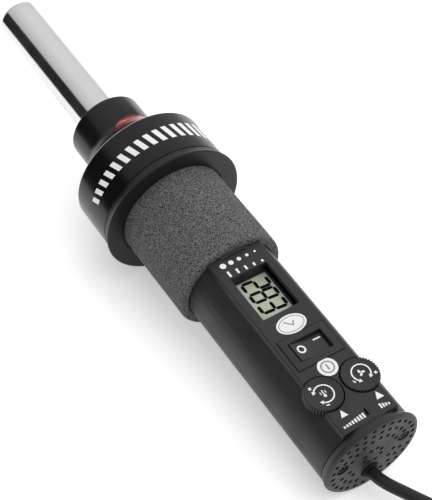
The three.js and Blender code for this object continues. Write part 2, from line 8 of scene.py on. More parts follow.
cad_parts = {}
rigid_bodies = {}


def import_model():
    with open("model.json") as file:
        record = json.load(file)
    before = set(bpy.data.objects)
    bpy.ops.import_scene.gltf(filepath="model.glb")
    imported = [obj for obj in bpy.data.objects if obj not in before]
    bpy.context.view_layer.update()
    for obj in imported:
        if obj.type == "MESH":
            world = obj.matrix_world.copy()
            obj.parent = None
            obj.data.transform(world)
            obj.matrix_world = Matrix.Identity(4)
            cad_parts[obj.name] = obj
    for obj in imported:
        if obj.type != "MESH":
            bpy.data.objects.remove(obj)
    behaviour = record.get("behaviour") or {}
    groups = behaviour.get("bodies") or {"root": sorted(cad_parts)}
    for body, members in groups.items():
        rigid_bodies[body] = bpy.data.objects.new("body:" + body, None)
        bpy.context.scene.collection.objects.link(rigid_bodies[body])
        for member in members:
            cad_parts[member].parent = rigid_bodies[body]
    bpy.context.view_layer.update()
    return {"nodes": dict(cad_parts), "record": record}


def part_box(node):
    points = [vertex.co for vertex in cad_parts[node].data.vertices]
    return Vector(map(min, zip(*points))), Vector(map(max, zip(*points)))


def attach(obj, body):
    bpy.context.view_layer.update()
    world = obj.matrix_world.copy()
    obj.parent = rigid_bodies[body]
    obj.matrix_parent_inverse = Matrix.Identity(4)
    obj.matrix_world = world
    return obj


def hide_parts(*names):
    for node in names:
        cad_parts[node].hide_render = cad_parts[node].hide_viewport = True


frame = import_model()
MM = 0.001
GREEN = (0.45, 0.50, 0.385)

# ---- the gun's own frame: x towards the nozzle, y across the panel, z out of the panel, in mm ----

joints = {joint["name"]: joint for joint in frame["record"]["behaviour"]["joints"]}
AXIS = Vector(joints["impeller_spin"]["axis"]).normalized()
NORMAL = Vector(joints["air_knob_turn"]["axis"]).normalized()
ACROSS = NORMAL.cross(AXIS)
IMPELLER_STATION = 12
GUN = Matrix((AXIS, ACROSS, NORMAL)).transposed().to_4x4()
GUN.translation = Vector(joints["impeller_spin"]["pos_m"]) + AXIS * IMPELLER_STATION * MM
GUN = GUN @ Matrix.Scale(MM, 4)
TABLE = Matrix.Scale(MM, 4)

# ---- sizes in mm, as in the CAD part; stations run from the collar's front rim to the tail ----

SIDES = 180
BARREL_RADIUS, BARREL_WALL, BARREL_TIP, BARREL_ROOT = 11, 0.6, -122.8, -24
NECK_RADIUS, NECK_FRONT, NECK_END = 18.7, -32.85, -17.4
COLLAR_RADIUS, COLLAR_END, EDGE_HALF = 33.9, 24.5, 0.45
FLANGE_RADIUS, FLANGE_FRONT, FLANGE_BACK, FLANGE_BORE = 35.4, 24.8, 29.9, 22.4
FLANGE_RECESS, FLANGE_FLOOR = 27, 28.4
LENS_CENTRE, LENS_RADIUS, LENS_BACK = (-4.8, -4.3), 13.5, -9
# the red lens's painted highlight streak: its station and half width, in mm
LENS_HIGHLIGHT_STATION, LENS_HIGHLIGHT_HALF = -15.3, 1.4
HANDLE_RADIUS, HANDLE_FRONT, HANDLE_END = 22, 21.5, 178.1
PANEL_TOP, PANEL_HALF, PANEL_FRONT = 20.75, 13.7, 78.5
FOAM_RADIUS, FOAM_FRONT, FOAM_END = 26.4, 28.7, 78.2
WINDOW_FRONT, WINDOW_BACK, WINDOW_HALF = 90, 115.4, 9.3
DIGIT_STATIONS, DIGIT_ACROSS = (94.9, 101.25, 107.6), -1.1
SWITCH_STATION = 136.2
ROCKER_PIVOT, ROCKER_TILT, ROCKER_REACH = 18.9, math.radians(7), 7.85
KNOB_STATION, KNOB_ACROSS, KNOB_RADIUS, KNOB_LOW, KNOB_HIGH = 158.3, 9.24, 8.45, 17.9, 21.25
CAP_FRONT, CAP_REST, CAP_BACK, CAP_RADIUS, CAP_RISE = 178.4, 182.2, 183.4, 23.3, 1.3
SCREW_ACROSS, SCREW_HEIGHT = 15.4, 3
CORD_HEIGHT, RELIEF_FRONT, RELIEF_END = -10, 164.2, 184.6
VENT_RADIUS, VENT_RINGS = 1.05, [(20, 28), (16, 24), (11.8, 18), (4.5, 8)]
CORD_DIAMETER = 5.5
COIL_CENTRE, COIL_HEIGHTS = Vector((-235.2, -6)), (3.85, 9.5)
COIL_OUTER_TURN, COIL_INNER_TURN = 42, 22.3
PLUG_NECK, PLUG_FRONT, PLUG_ACROSS, PLUG_HEIGHT = -265.2, -302.2, -48, 8.6
PLUG_SECTION = (PLUG_ACROSS - 13, PLUG_ACROSS + 13, PLUG_HEIGHT - 8.5, PLUG_HEIGHT + 8.5)
PLUG_WAIST = [(0, 1), (3, 1), (8, 0.95), (14, 0.86), (20, 0.84), (25, 0.80), (27, 0.72)]
PLUG_SLEEVE = [(27, 5.6), (28.5, 5.2), (29.2, 4.6), (30.2, 4.9), (31.4, 4.4), (32.2, 4), (33.2, 4.3)]
PLUG_SLEEVE += [(34.4, 3.8), (35.2, 3.5), (36.2, 3.6), (37, 3.2)]
TIE_THICK, TIE_MARGIN, TABLE_GAP = 0.65, 0.2, 0.12
CORD_ROUTE = [
    (-152.7, 0, 11.7),
    (-156, -0.5, 11.45),
    (-159.3, -1.7, 11),
    (-162.5, -3.5, 10.3),
    (-165.7, -5.8, 9.3),
    (-169.4, -8.6, 7.9),
    (-173.3, -11.6, 6.4),
    (-178.2, -15.3, 4.8),
    (-183.8, -19.6, 3.5),
    (-190.9, -25.1, 2.9),
]


# ---- node materials; noise scales are per metre, bump depths in metres ----

THIN_SHADE, FINE_DEPTH = 0.86, 0.00001


def new_material(name):
    material = bpy.data.materials.new(name)
    material.use_nodes = True
    tree = material.node_tree
    return material, tree, tree.nodes["Principled BSDF"]


def set_inputs(node, levels):
    for socket, level in levels.items():
        node.inputs[socket].default_value = level


def object_place(tree):
    return tree.nodes.new("ShaderNodeTexCoord").outputs["Object"]


def texture(tree, kind, place, levels):
    node = tree.nodes.new(f"ShaderNodeTex{kind}")
    set_inputs(node, levels)
    tree.links.new(place, node.inputs["Vector"])
    return node


def noise(tree, scale, detail=4.0, roughness=0.55, stretch=None):
    place = object_place(tree)
    if stretch:
        mapping = tree.nodes.new("ShaderNodeMapping")
        set_inputs(mapping, {"Rotation": GUN.to_euler(), "Scale": stretch})
        tree.links.new(place, mapping.inputs["Vector"])
        place = mapping.outputs["Vector"]
    levels = {"Scale": scale, "Detail": detail, "Roughness": roughness}
    return texture(tree, "Noise", place, levels).outputs["Fac"]


def along(tree, place, direction):
    """How far a place lies along a direction."""
    node = tree.nodes.new("ShaderNodeVectorMath")
    node.operation = "DOT_PRODUCT"
    node.inputs[1].default_value = direction
    tree.links.new(place, node.inputs[0])
    return node.outputs["Value"]


def spread(tree, value, low, high, ends=(0.3, 0.7)):
    """Carries a value from between the two ends to between low and high."""
    ramp = tree.nodes.new("ShaderNodeMapRange")
    set_inputs(ramp, {"From Min": ends[0], "From Max": ends[1], "To Min": low, "To Max": high})
    tree.links.new(value, ramp.inputs["Value"])
    return ramp.outputs["Result"]


def calculated(tree, operation, *values):
    """A Math node's result from values that are numbers or other nodes' outputs."""
    node = tree.nodes.new("ShaderNodeMath")
    node.operation = operation
    for socket, value in zip(node.inputs, values):
        if isinstance(value, float):
            socket.default_value = value
        else:
            tree.links.new(value, socket)
    return node.outputs["Value"]


def scaled(colour, share, lift=0.0):
    return tuple(min(1, c * share + lift) for c in colour)


def paint(tree, shader, value, first, second):
    """Mixes the base colour from first to second as the value goes from 0 to 1."""
    mix = tree.nodes.new("ShaderNodeMix")
    mix.data_type = "RGBA"
    set_inputs(mix, {"A": (*first, 1), "B": (*second, 1)})
    tree.links.new(value, mix.inputs["Factor"])
    tree.links.new(mix.outputs["Result"], shader.inputs["Base Color"])


def roughen(tree, shader, value, low, high):
    tree.links.new(spread(tree, value, low, high), shader.inputs["Roughness"])


def bump(tree, shader, value, strength, distance):
    node = tree.nodes.new("ShaderNodeBump")
    set_inputs(node, {"Strength": strength, "Distance": distance})
    tree.links.new(value, node.inputs["Height"])
    tree.links.new(node.outputs["Normal"], shader.inputs["Normal"])


def moulded(name, colour, roughness, grain=2500.0, depth=0.00002, strength=0.35, coat=0.0, specular=0.5):
    """Moulded plastic or rubber: fine grain, and slow changes of shade and gloss across the piece."""
    material, tree, shader = new_material(name)
    slow = noise(tree, 45, 3)
    paint(tree, shader, slow, scaled(colour, 0.78), scaled(colour, 1.35, 0.002))
    roughen(tree, shader, slow, roughness * 0.82, roughness * 1.2)
    set_inputs(shader, {"Specular IOR Level": specular, "Coat Weight": coat, "Coat Roughness": 0.12})
    bump(tree, shader, noise(tree, grain, 3), strength, depth)
    return material


def metal(name, colour, roughness, stretch=(1, 1, 1), grain=900.0, strength=0.08):
    """Metal with fine drawn or turned lines along one way, and slight smears in its polish."""
    material, tree, shader = new_material(name)
    smear = noise(tree, 60, 4)
    paint(tree, shader, smear, scaled(colour, THIN_SHADE), colour)
    roughen(tree, shader, smear, roughness * 0.75, roughness * 1.35)
    set_inputs(shader, {"Metallic": 1})
    bump(tree, shader, noise(tree, grain, 5, 0.6, stretch), strength, FINE_DEPTH)
    return material


def foam_material():
    """Open-grained foam rubber: dark pits between lighter cell walls."""
    material, tree, shader = new_material("foam_rubber")
    cells = texture(tree, "Voronoi", object_place(tree), {"Scale": 1750, "Randomness": 1})
    grain = calculated(tree, "MULTIPLY_ADD", cells.outputs["Distance"], 0.30, noise(tree, 1900, 3, 0.6))
    walls, pits = (0.205, 0.205, 0.207), (0.006, 0.006, 0.0065)
    paint(tree, shader, spread(tree, grain, 0, 1, (0.50, 0.82)), pits, walls)
    set_inputs(shader, {"Roughness": 0.95, "Specular IOR Level": 0.2})
    bump(tree, shader, grain, 0.9, 0.0003)
    return material


def display_material():
    """Reflective display: pale green, a little uneven, under a smooth polariser."""
    material, tree, shader = new_material("display_green")
    paint(tree, shader, noise(tree, 90, 3), scaled(GREEN, THIN_SHADE), GREEN)
    roughen(tree, shader, noise(tree, 600, 2), 0.22, 0.34)
    set_inputs(shader, {"Coat Weight": 0.3})
    return material


def printed(name, colour, roughness=0.5, specular=0.5):
    """Screen-printed ink, slightly thin in places."""
    material, tree, shader = new_material(name)
    speckle = noise(tree, 1800, 3)
    paint(tree, shader, speckle, scaled(colour, THIN_SHADE), colour)
    roughen(tree, shader, speckle, roughness * 0.9, roughness * 1.1)
    set_inputs(shader, {"Specular IOR Level": specular})
    bump(tree, shader, speckle, 0.15, FINE_DEPTH)
    return material


def lens_material():
    """Clear red moulding: dark red at its rim, with a painted highlight streak along one station of its
    front, which also gets a faint painted glow.
    """
    material, tree, shader = new_material("red_lens")
    station = along(tree, object_place(tree), AXIS)
    bend, reach = (GUN @ Vector((-LENS_HIGHLIGHT_STATION, 0, 0))).dot(AXIS), LENS_HIGHLIGHT_HALF * MM
    rise = spread(tree, station, 0, 1, (bend - reach, bend))
    fall = spread(tree, station, 1, 0, (bend, bend + reach))
    patches = spread(tree, noise(tree, 420, 2), 0.35, 1, (0.35, 0.6))
    painted_highlight = calculated(tree, "MULTIPLY", calculated(tree, "MULTIPLY", rise, fall), patches)
    paint(tree, shader, painted_highlight, (0.075, 0.0015, 0.003), (0.85, 0.16, 0.18))
    set_inputs(shader, {"Roughness": 0.12, "Specular IOR Level": 0.3, "Coat Weight": 0.15})
    # painted glow: the lens emits red where the painted highlight is
    set_inputs(shader, {"Emission Color": (0.9, 0.03, 0.04, 1)})
    tree.links.new(spread(tree, painted_highlight, 0, 0.12, (0, 1)), shader.inputs["Emission Strength"])
    return material


def woven(name, colour):
    """Woven strap: crossed ribs about two thirds of a millimetre apart."""
    material, tree, shader = new_material(name)
    ribs = []
    for direction in ("X", "Y"):
        wave = texture(tree, "Wave", object_place(tree), {"Scale": 480, "Distortion": 0.6})
        wave.bands_direction = direction
        ribs.append(wave.outputs["Fac"])
    cross = calculated(tree, "MULTIPLY", *ribs)
    paint(tree, shader, cross, colour, scaled(colour, 2, 0.02))
    set_inputs(shader, {"Roughness": 0.85})
    bump(tree, shader, cross, 0.6, 0.0002)
    return material


# each finish: its maker, colour, roughness and further settings in the maker's order
FINISHES = {
    "polished_steel": (metal, (0.74, 0.74, 0.75), 0.13, (1, 24, 24), 500, 0.05),
    "zinc_plate": (metal, (0.60, 0.61, 0.63), 0.38),
    "mica": (moulded, (0.55, 0.42, 0.22), 0.45, 700, 0.00006, 0.5),
    "ceramic": (moulded, (0.74, 0.69, 0.60), 0.85, 1600, 0.00004, 0.6),
    "resistance_wire": (metal, (0.34, 0.31, 0.29), 0.45),
    "black_zinc": (metal, (0.008, 0.008, 0.009), 0.4),
    "gloss_black": (moulded, (0.004, 0.004, 0.0045), 0.24, 900, 0.00001, 0.10, 0, 0.3),
    "flange_black": (moulded, (0.006, 0.006, 0.0065), 0.42, 1800, 0.00002, 0.20, 0, 0.3),
    "dark_plastic": (moulded, (0.018, 0.018, 0.019), 0.42),
    "handle_plastic": (moulded, (0.018, 0.018, 0.019), 0.50, 2600, 0.00003, 0.40, 0, 0.42),
    "white_plastic": (moulded, (0.70, 0.70, 0.67), 0.5),
    "circuit_board": (moulded, (0.02, 0.12, 0.05), 0.35, 500, 0.00003, 0.3, 0.3),
    "aluminium": (metal, (0.66, 0.67, 0.69), 0.35, (1, 12, 12)),
    "rocker_plastic": (moulded, (0.016, 0.016, 0.017), 0.33, 2400, 0.00002, 0.25),
    "brass": (metal, (0.66, 0.50, 0.22), 0.25, (1, 10, 10)),
    "knob_plastic": (moulded, (0.011, 0.011, 0.012), 0.45, 2600, 0.00002, 0.35),
    "lead_sleeve": (moulded, (0.03, 0.03, 0.034), 0.5),
    "glass_braid": (woven, (0.55, 0.52, 0.45)),
    "cord_rubber": (moulded, (0.008, 0.008, 0.0085), 0.45, 1500, 0.00003, 0.35, 0, 0.35),
    "tie_strap": (woven, (0.018, 0.018, 0.02)),
    "plug_rubber": (moulded, (0.014, 0.014, 0.015), 0.45, 1800, 0.00003, 0.4),
}
MATERIALS = {name: make(name, *settings) for name, (make, *settings) in FINISHES.items()}
MATERIALS["red_lens"] = lens_material()
MATERIALS["foam"] = foam_material()
MATERIALS["display_glass"] = display_material()
# a darker, less glossy copy of the cord rubber: painted shade round the cord's exit
SHADED_BUSH_RUBBER = moulded("bush_rubber_painted_shade", (0.004, 0.004, 0.0045), 0.6, 1500, 0.00003, 0.35, 0, 0.15)
# light grey used as a painted highlight along the collar's front rim
EDGE_HIGHLIGHT_PAINT = moulded("collar_edge_painted_highlight", (0.34, 0.34, 0.34), 0.3, 900, 0.00001, 0.10)
WHITE_INK = printed("white_ink", (0.86, 0.86, 0.85))
PALE_PAPER = printed("pale_paper", (0.84, 0.84, 0.83), 0.6)
GREY_INK = printed("grey_ink", (0.28, 0.28, 0.28))
DIGIT_BLACK = printed("digit_black", (0.002, 0.0022, 0.002), 0.6, 0.05)


# ---- mesh helpers, in the gun's or the table's millimetres ----


def new_object(name, data):
    thing = bpy.data.objects.new(name, data)
    bpy.context.scene.collection.objects.link(thing)
    return thing


def finish_mesh(name, mesh, slot, material=None, sharp=32, body="gun", place=GUN):
    """A piece of the visual model from a mesh in millimetres."""
    mesh.name = name
    mesh.transform(place)
    mesh.polygons.foreach_set("use_smooth", [True] * len(mesh.polygons))
    mesh.set_sharp_from_angle(angle=math.radians(sharp))
    mesh.materials.clear()
    mesh.materials.append(material or MATERIALS[slot])
    piece = new_object(name, mesh)
    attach(piece, body)
    return piece


def to_mesh(bm):
    bmesh.ops.remove_doubles(bm, verts=bm.verts, dist=1e-4)
    bmesh.ops.recalc_face_normals(bm, faces=bm.faces)
    mesh = bpy.data.meshes.new("mesh")
    bm.to_mesh(mesh)
    bm.free()
    return mesh


def bridge(bm, first, second, closed=True):
    """Faces between two loops with the same number of vertices."""
    for i in range(len(first) if closed else len(first) - 1):
        n = (i + 1) % len(first)
        bm.faces.new((first[i], first[n], second[n], second[i]))


def lofted(*solids):
    """A mesh of solids, each through rings of (x, y, z) points between two flat ends."""
    bm = bmesh.new()
    for solid in solids:
        rings = [[bm.verts.new(point) for point in ring] for ring in solid]
        bm.faces.new(rings[0])
        bm.faces.new(rings[-1])
        for first, second in zip(rings, rings[1:]):
            bridge(bm, first, second)
    return to_mesh(bm)


def tube(loops, closed=True):
    """A solid along loops that stand in order round its section; an open one gets flat ends."""
    bm = bmesh.new()
    rings = [[bm.verts.new(point) for point in loop] for loop in loops]
    for first, second in zip(rings, [*rings[1:], rings[0]]):
        bridge(bm, first, second, closed)
    if not closed:
        bm.faces.new([ring[0] for ring in rings])
        bm.faces.new([ring[-1] for ring in rings])
    return to_mesh(bm)


def rectangle(low_x, high_x, low_y, high_y, *radius):
    """Four corners in order, each with its rounding radius if one is given."""
    ends = ((low_x, low_y), (high_x, low_y), (high_x, high_y), (low_x, high_y))
    return [(*end, *radius) for end in ends]


def polar(radius, degrees):
    t = math.radians(degrees)
    return Vector((radius * math.cos(t), radius * math.sin(t)))


def ellipse(half_x, half_y, centre=(0, 0), turn=0, steps=48):
    way, side = polar(half_x, turn), polar(half_y, turn + 90)
    angles = [2 * math.pi * i / steps for i in range(steps)]
    return [Vector(centre) + way * math.cos(t) + side * math.sin(t) for t in angles]


def rounded(points, steps=5):
    """A closed outline whose corners given as (x, y, radius) are rounded to that radius."""
    outline = []
    for i, (x, y, *radius) in enumerate(points):
        corner = Vector((x, y))
        if not radius:
            outline.append(corner)
            continue
        before = Vector(points[i - 1][:2]) - corner
        after = Vector(points[(i + 1) % len(points)][:2]) - corner
        half = before.angle(after) / 2
        reach = min(radius[0] / math.tan(half), before.length * 0.49, after.length * 0.49)
        start, end = corner + before.normalized() * reach, corner + after.normalized() * reach
        for k in range(steps + 1):
            t = k / steps
            outline.append(start * (1 - t) ** 2 + corner * 2 * t * (1 - t) + end * t * t)
    return outline


def revolved(profile, sides=SIDES, centre=(0, 0)):
    """Turns a closed [station, radius] outline about the gun's axis, or a line parallel to it."""
    bm = bmesh.new()
    rings = []
    for i in range(sides):
        angle = 2 * math.pi * i / sides
        c, s = math.cos(angle), math.sin(angle)
        rings.append([bm.verts.new((-x, centre[0] + r * s, centre[1] + r * c)) for x, r in profile])
    for i, ring in enumerate(rings):
        following = rings[(i + 1) % sides]
        for k in range(len(profile)):
            n = (k + 1) % len(profile)
            if profile[k][1] > 1e-6 or profile[n][1] > 1e-6:
                bm.faces.new((ring[k], ring[n], following[n], following[k]))
    bmesh.ops.remove_doubles(bm, verts=bm.verts, dist=1e-5)
    bmesh.ops.dissolve_degenerate(bm, edges=bm.edges, dist=1e-6)
    return to_mesh(bm)


def swept(outline, low, high, along):
    """Carries an outline straight from low to high: along is "axis" or "normal"."""
    if along == "axis":
        return lofted([[(-level, x, y) for x, y in outline] for level in (low, high)])
    return lofted([[(-x, y, level) for x, y in outline] for level in (low, high)])


def stamped(outlines, low, high):
    """Separate flat marks in one mesh, each an outline raised along the normal."""
    return lofted(*([[(-x, y, level) for x, y in outline] for level in (low, high)] for outline in outlines))


def box_mesh(stations, across, heights):
    return swept(rectangle(*stations, *across), *heights, "normal")


def pillar(station, across, low, high, radius, sides=96):
    return swept(ellipse(radius, radius, (station, across), steps=sides), low, high, "normal")


def round_bar(front, back, radius, centre, sides=24):
    outline = [(front, 0), (front, radius), (back, radius), (back, 0)]
    return revolved(outline, sides, centre)


def applied(mesh, kind, **settings):
    """The mesh after one modifier."""
    holder = new_object("holder", mesh)
    modifier = holder.modifiers.new(kind, kind)
    for key, value in settings.items():
        setattr(modifier, key, value)
    bpy.context.view_layer.update()
    graph = bpy.context.evaluated_depsgraph_get()
    result = bpy.data.meshes.new_from_object(holder.evaluated_get(graph))
    bpy.data.objects.remove(holder)
    return result


def combined(mesh, operation, others):
    group = bpy.data.collections.new("cutters")
    bpy.context.scene.collection.children.link(group)
    for other in others:
        group.objects.link(bpy.data.objects.new("cutter", other))
    source = {"operand_type": "COLLECTION", "collection": group}
    result = applied(mesh, "BOOLEAN", operation=operation, solver="EXACT", **source)
    for cutter in list(group.objects):
        bpy.data.objects.remove(cutter)
    bpy.data.collections.remove(group)
    return result


def cut(mesh, *cutters):
    return combined(mesh, "DIFFERENCE", cutters)


def softened(mesh, width, segments=2, angle=40):
    """The mesh with its edges sharper than the angle bevelled."""
    limit = {"limit_method": "ANGLE", "angle_limit": math.radians(angle)}
    return applied(mesh, "BEVEL", width=width, segments=segments, **limit)


# ---- camera, light and floor ----

CAMERA_PLACE = (-0.38987, 0.2242, 0.4888)
LOOK, RIGHT = Vector((0.5778, -0.3650, -0.7300)), Vector((-0.5427, -0.8398, -0.0097))
FOCAL_PER_HEIGHT = 1378.4 / 500
FLOOR_SIZE, FLOOR_GLOW = 6, 0.35
CARD_START, CARD_ENDS, CARD_FOOT, CARD_TOP = -0.4, (0.28, 0.60), (0.095, 0.022), (0.36, 0.36)
KEY_PLACE, KEY_TARGET = Vector((-0.3, -0.4, 1.3)), Vector((0, 0, 0.03))
KEY_SIZE, KEY_POWER = 1.6, 8.5
BRIGHT_SIDE, WORLD_ENDS, WORLD_LEVELS = (0, -0.6, 0.8), (-0.3, 0.75), (0.42, 0.92)


def add_camera():
    camera = bpy.data.cameras.new("camera")
    camera.lens = FOCAL_PER_HEIGHT * camera.sensor_width
    camera.clip_start = 0.01
    look = LOOK.normalized()
    right = (RIGHT - look * RIGHT.dot(look)).normalized()
    holder = new_object("camera", camera)
    holder.matrix_world = Matrix((right, right.cross(look), -look)).transposed().to_4x4()
    holder.location = CAMERA_PLACE
    bpy.context.scene.camera = holder


def add_key_light():
    light = bpy.data.lights.new("key", "AREA")
    light.shape = "SQUARE"
    light.size = KEY_SIZE
    light.energy = KEY_POWER
    holder = new_object("key", light)
    holder.location = KEY_PLACE
    holder.rotation_euler = (KEY_TARGET - KEY_PLACE).to_track_quat("-Z", "Y").to_euler()
    holder.visible_glossy = False


def add_sheet(name, corners, material):
    sheet = bpy.data.meshes.new(name)
    sheet.from_pydata(corners, [], [tuple(range(len(corners)))])
    sheet.materials.append(material)
    holder = new_object(name, sheet)
    return holder


def add_world():
    """A white studio that is brighter overhead and to one side."""
    world = bpy.data.worlds.new("studio")
    world.use_nodes = True
    tree = world.node_tree
    background = tree.nodes["Background"]
    set_inputs(background, {"Color": (1, 1, 1, 1)})
    way = tree.nodes.new("ShaderNodeTexCoord").outputs["Generated"]
    level = spread(tree, along(tree, way, BRIGHT_SIDE), *WORLD_LEVELS, WORLD_ENDS)
    tree.links.new(level, background.inputs["Strength"])
    bpy.context.scene.world = world


def add_floor():
    white, tree, shader = new_material("floor_white")
    paint(tree, shader, noise(tree, 3, 2), (0.90, 0.90, 0.90), (0.93, 0.93, 0.93))
    set_inputs(shader, {"Roughness": 0.9, "Specular IOR Level": 0.1})
    set_inputs(shader, {"Emission Color": (1, 1, 1, 1), "Emission Strength": FLOOR_GLOW})
    half = FLOOR_SIZE / 2
    add_sheet("floor", [(x, y, 0) for x, y in rectangle(-half, half, -half, half)], white)


def add_card():
    """A dark card beside the gun that only its reflections show."""
    black, _, shader = new_material("card_black")
    set_inputs(shader, {"Base Color": (0.02, 0.02, 0.02, 1), "Specular IOR Level": 0})
    (near, low), (far, high) = CARD_FOOT, CARD_TOP
    foot_end, top_end = CARD_ENDS
    corners = [(CARD_START, near, low), (foot_end, near, low), (top_end, far, high), (CARD_START, far, high)]
    card = add_sheet("dark_card", corners, black)
    card.visible_camera = False
    card.visible_diffuse = False
    card.visible_shadow = False


add_camera()
bpy.context.scene.view_settings.view_transform = "Standard"
add_world()
add_floor()
add_key_light()
add_card()


# ---- the cord, its coil, tie and plug ----


def smooth_route(points, per_span=6):
    """A Catmull-Rom line through given points."""
    ends = [Vector(points[0]) * 2 - Vector(points[1])]
    ends += [Vector(p) for p in points]
    ends.append(Vector(points[-1]) * 2 - Vector(points[-2]))
    line = []
    for i in range(1, len(ends) - 2):
        a, b, c, d = ends[i - 1 : i + 3]
        for k in range(per_span):
            t = k / per_span
            bend = (2 * a - 5 * b + 4 * c - d) * t * t + (3 * b - a - 3 * c + d) * t * t * t
            line.append((2 * b + (c - a) * t + bend) / 2)
    return [*line, ends[-2]]


def coil_route(per_turn=48):
    """About seven turns clockwise: inwards on the table, up a layer, and outwards on top."""
    start, bottom, climb, top = -50, 1260, 120, 1180
    low, high = COIL_HEIGHTS
    reach = COIL_OUTER_TURN - COIL_INNER_TURN
    points = []
    total = bottom + climb + top
    for i in range(int(per_turn * total / 360) + 1):
        turned = min(total, i * 360 / per_turn)
        if turned < bottom:
            radius, height = COIL_OUTER_TURN - reach * turned / bottom, low
        elif turned < bottom + climb:
            share = (turned - bottom) / climb
            radius, height = COIL_INNER_TURN, low + (high - low) * share * share * (3 - 2 * share)
        else:
            radius, height = COIL_INNER_TURN + reach * (turned - bottom - climb) / top, high
        points.append(Vector((*(COIL_CENTRE + polar(radius, start - turned)), height)))
    return points


def add_cord(pieces):
    coil = coil_route()
    lead = smooth_route([*CORD_ROUTE, (-199.5, -31.6, 3.2), coil[0]])
    last, plug_end = coil[-1], (PLUG_NECK - 1.5, PLUG_ACROSS, PLUG_HEIGHT)
    tail = smooth_route([last, (last.x - 14, PLUG_ACROSS, 9.1), plug_end], 5)
    line = [p * MM for p in [*lead, *coil[1:], *tail[1:]]]
    data = bpy.data.curves.new("mains_cord", "CURVE")
    data.dimensions = "3D"
    data.bevel_depth = CORD_DIAMETER / 2 * MM
    data.bevel_resolution = 7
    data.use_fill_caps = True
    spline = data.splines.new("POLY")
    spline.points.add(len(line) - 1)
    for point, place in zip(spline.points, line):
        point.co = (*place, 1)
    data.materials.append(MATERIALS["cord_rubber"])
    piece = new_object("mains_cord", data)
    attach(piece, "gun")
    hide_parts("power_cord", "cord_coil", "power_cord_end")


def node_box(node):
    """A CAD node's lowest and highest corners, in mm."""
    return [[v / MM for v in corner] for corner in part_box(node)]


def add_tie():
    (x0, y0, z0), (x1, y1, z1) = node_box("cord_tie")
    thick, margin = TIE_THICK, TIE_MARGIN
    outer = rounded(rectangle(y0, y1, z0, z1, 2.4), 8)
    inner = rounded(rectangle(y0 + thick, y1 - thick, z0 + thick, z1 - thick, 2), 8)
    section = ((x0 + margin, outer), (x0 + margin, inner), (x1 - margin, inner), (x1 - margin, outer))
    mesh = softened(tube([[(x, y, z) for y, z in outline] for x, outline in section]), 0.2)
    tie = finish_mesh("hook_and_loop_tie", mesh, "tie_strap", place=TABLE)
    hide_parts("cord_tie")
    return tie


def add_plug():
    centre = Vector((PLUG_ACROSS, PLUG_HEIGHT))
    spokes = [p - centre for p in rounded(rectangle(*PLUG_SECTION, 4), 8)]
    rings = []
    for along, share in PLUG_WAIST:
        ring = [centre + spoke * share for spoke in spokes]
        rings.append([(PLUG_FRONT + along, p.x, max(p.y, TABLE_GAP)) for p in ring])
    for along, radius in PLUG_SLEEVE:
        ring = [centre + spoke.normalized() * radius for spoke in spokes]
        rings.append([(PLUG_FRONT + along, p.x, p.y) for p in ring])
    mesh = softened(lofted(rings), 0.8, 3, 60)
    plug = finish_mesh("moulded_plug", mesh, "plug_rubber", sharp=50, place=TABLE)
    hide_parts("plug_body")
    return [plug, *(add_blade(hand) for hand in ("right", "left"))]


def add_blade(hand):
    node = f"plug_blade_{hand}"
    (x0, y0, z0), (x1, y1, z1) = node_box(node)
    inside = -x1 - 2
    outline = rounded([(-x0, z0, 1.6), (-x0, z1, 1.6), (inside, z1), (inside, z0)], 6)
    mesh = softened(lofted([[(-x, y, z) for x, z in outline] for y in (y0, y1)]), 0.25)
    blade = finish_mesh(f"contact_{hand}", mesh, "brass", place=TABLE)
    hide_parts(node)
    return blade


add_cord([add_tie(), *add_plug()])


# ---- hot end and collar ----

TIP_ROUND, BARREL_PLAY, SHELL_WALL, LIP_PLAY, FAR = 1.6, 0.35, 2.2, 2.7, 40
RAMP_BARS, RAMP_TURNS, RAMP_BACK, RAMP_LENGTHS = 17, (-63, 72), 16.6, (10.2, 4.6)
RAMP_BAR_TURN, RAMP_LEAN, RAMP_LEVELS = 4.4, 1.6, (COLLAR_RADIUS - 0.05, COLLAR_RADIUS + 0.04)


def flare(start, end, steps=16):
    (s0, r0), (s1, r1) = start, end
    return [(s0 + (s1 - s0) * i / steps, r0 + (r1 - r0) * (i / steps) ** 1.8) for i in range(steps + 1)]


OUTER_FLARE = flare((NECK_END, NECK_RADIUS), (-0.3, COLLAR_RADIUS - 0.3))
INNER_FLARE = flare((NECK_END + 1.4, NECK_RADIUS - SHELL_WALL), (2.5, COLLAR_RADIUS - 2.4), 8)


def add_barrel():
    inner, lip = BARREL_RADIUS - BARREL_WALL, BARREL_WALL - 0.05
    tip = []
    for i in range(9):
        t = math.pi / 2 * i / 8
        tip.append((BARREL_TIP + TIP_ROUND * (1 - math.cos(t)), BARREL_RADIUS - lip + lip * math.sin(t)))
    profile = [(BARREL_TIP, inner), *tip, (BARREL_ROOT, BARREL_RADIUS), (BARREL_ROOT, inner)]
    mesh = revolved(profile, 192)
    piece = finish_mesh("steel_barrel", mesh, "polished_steel", sharp=50)
    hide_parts("nozzle_tube")


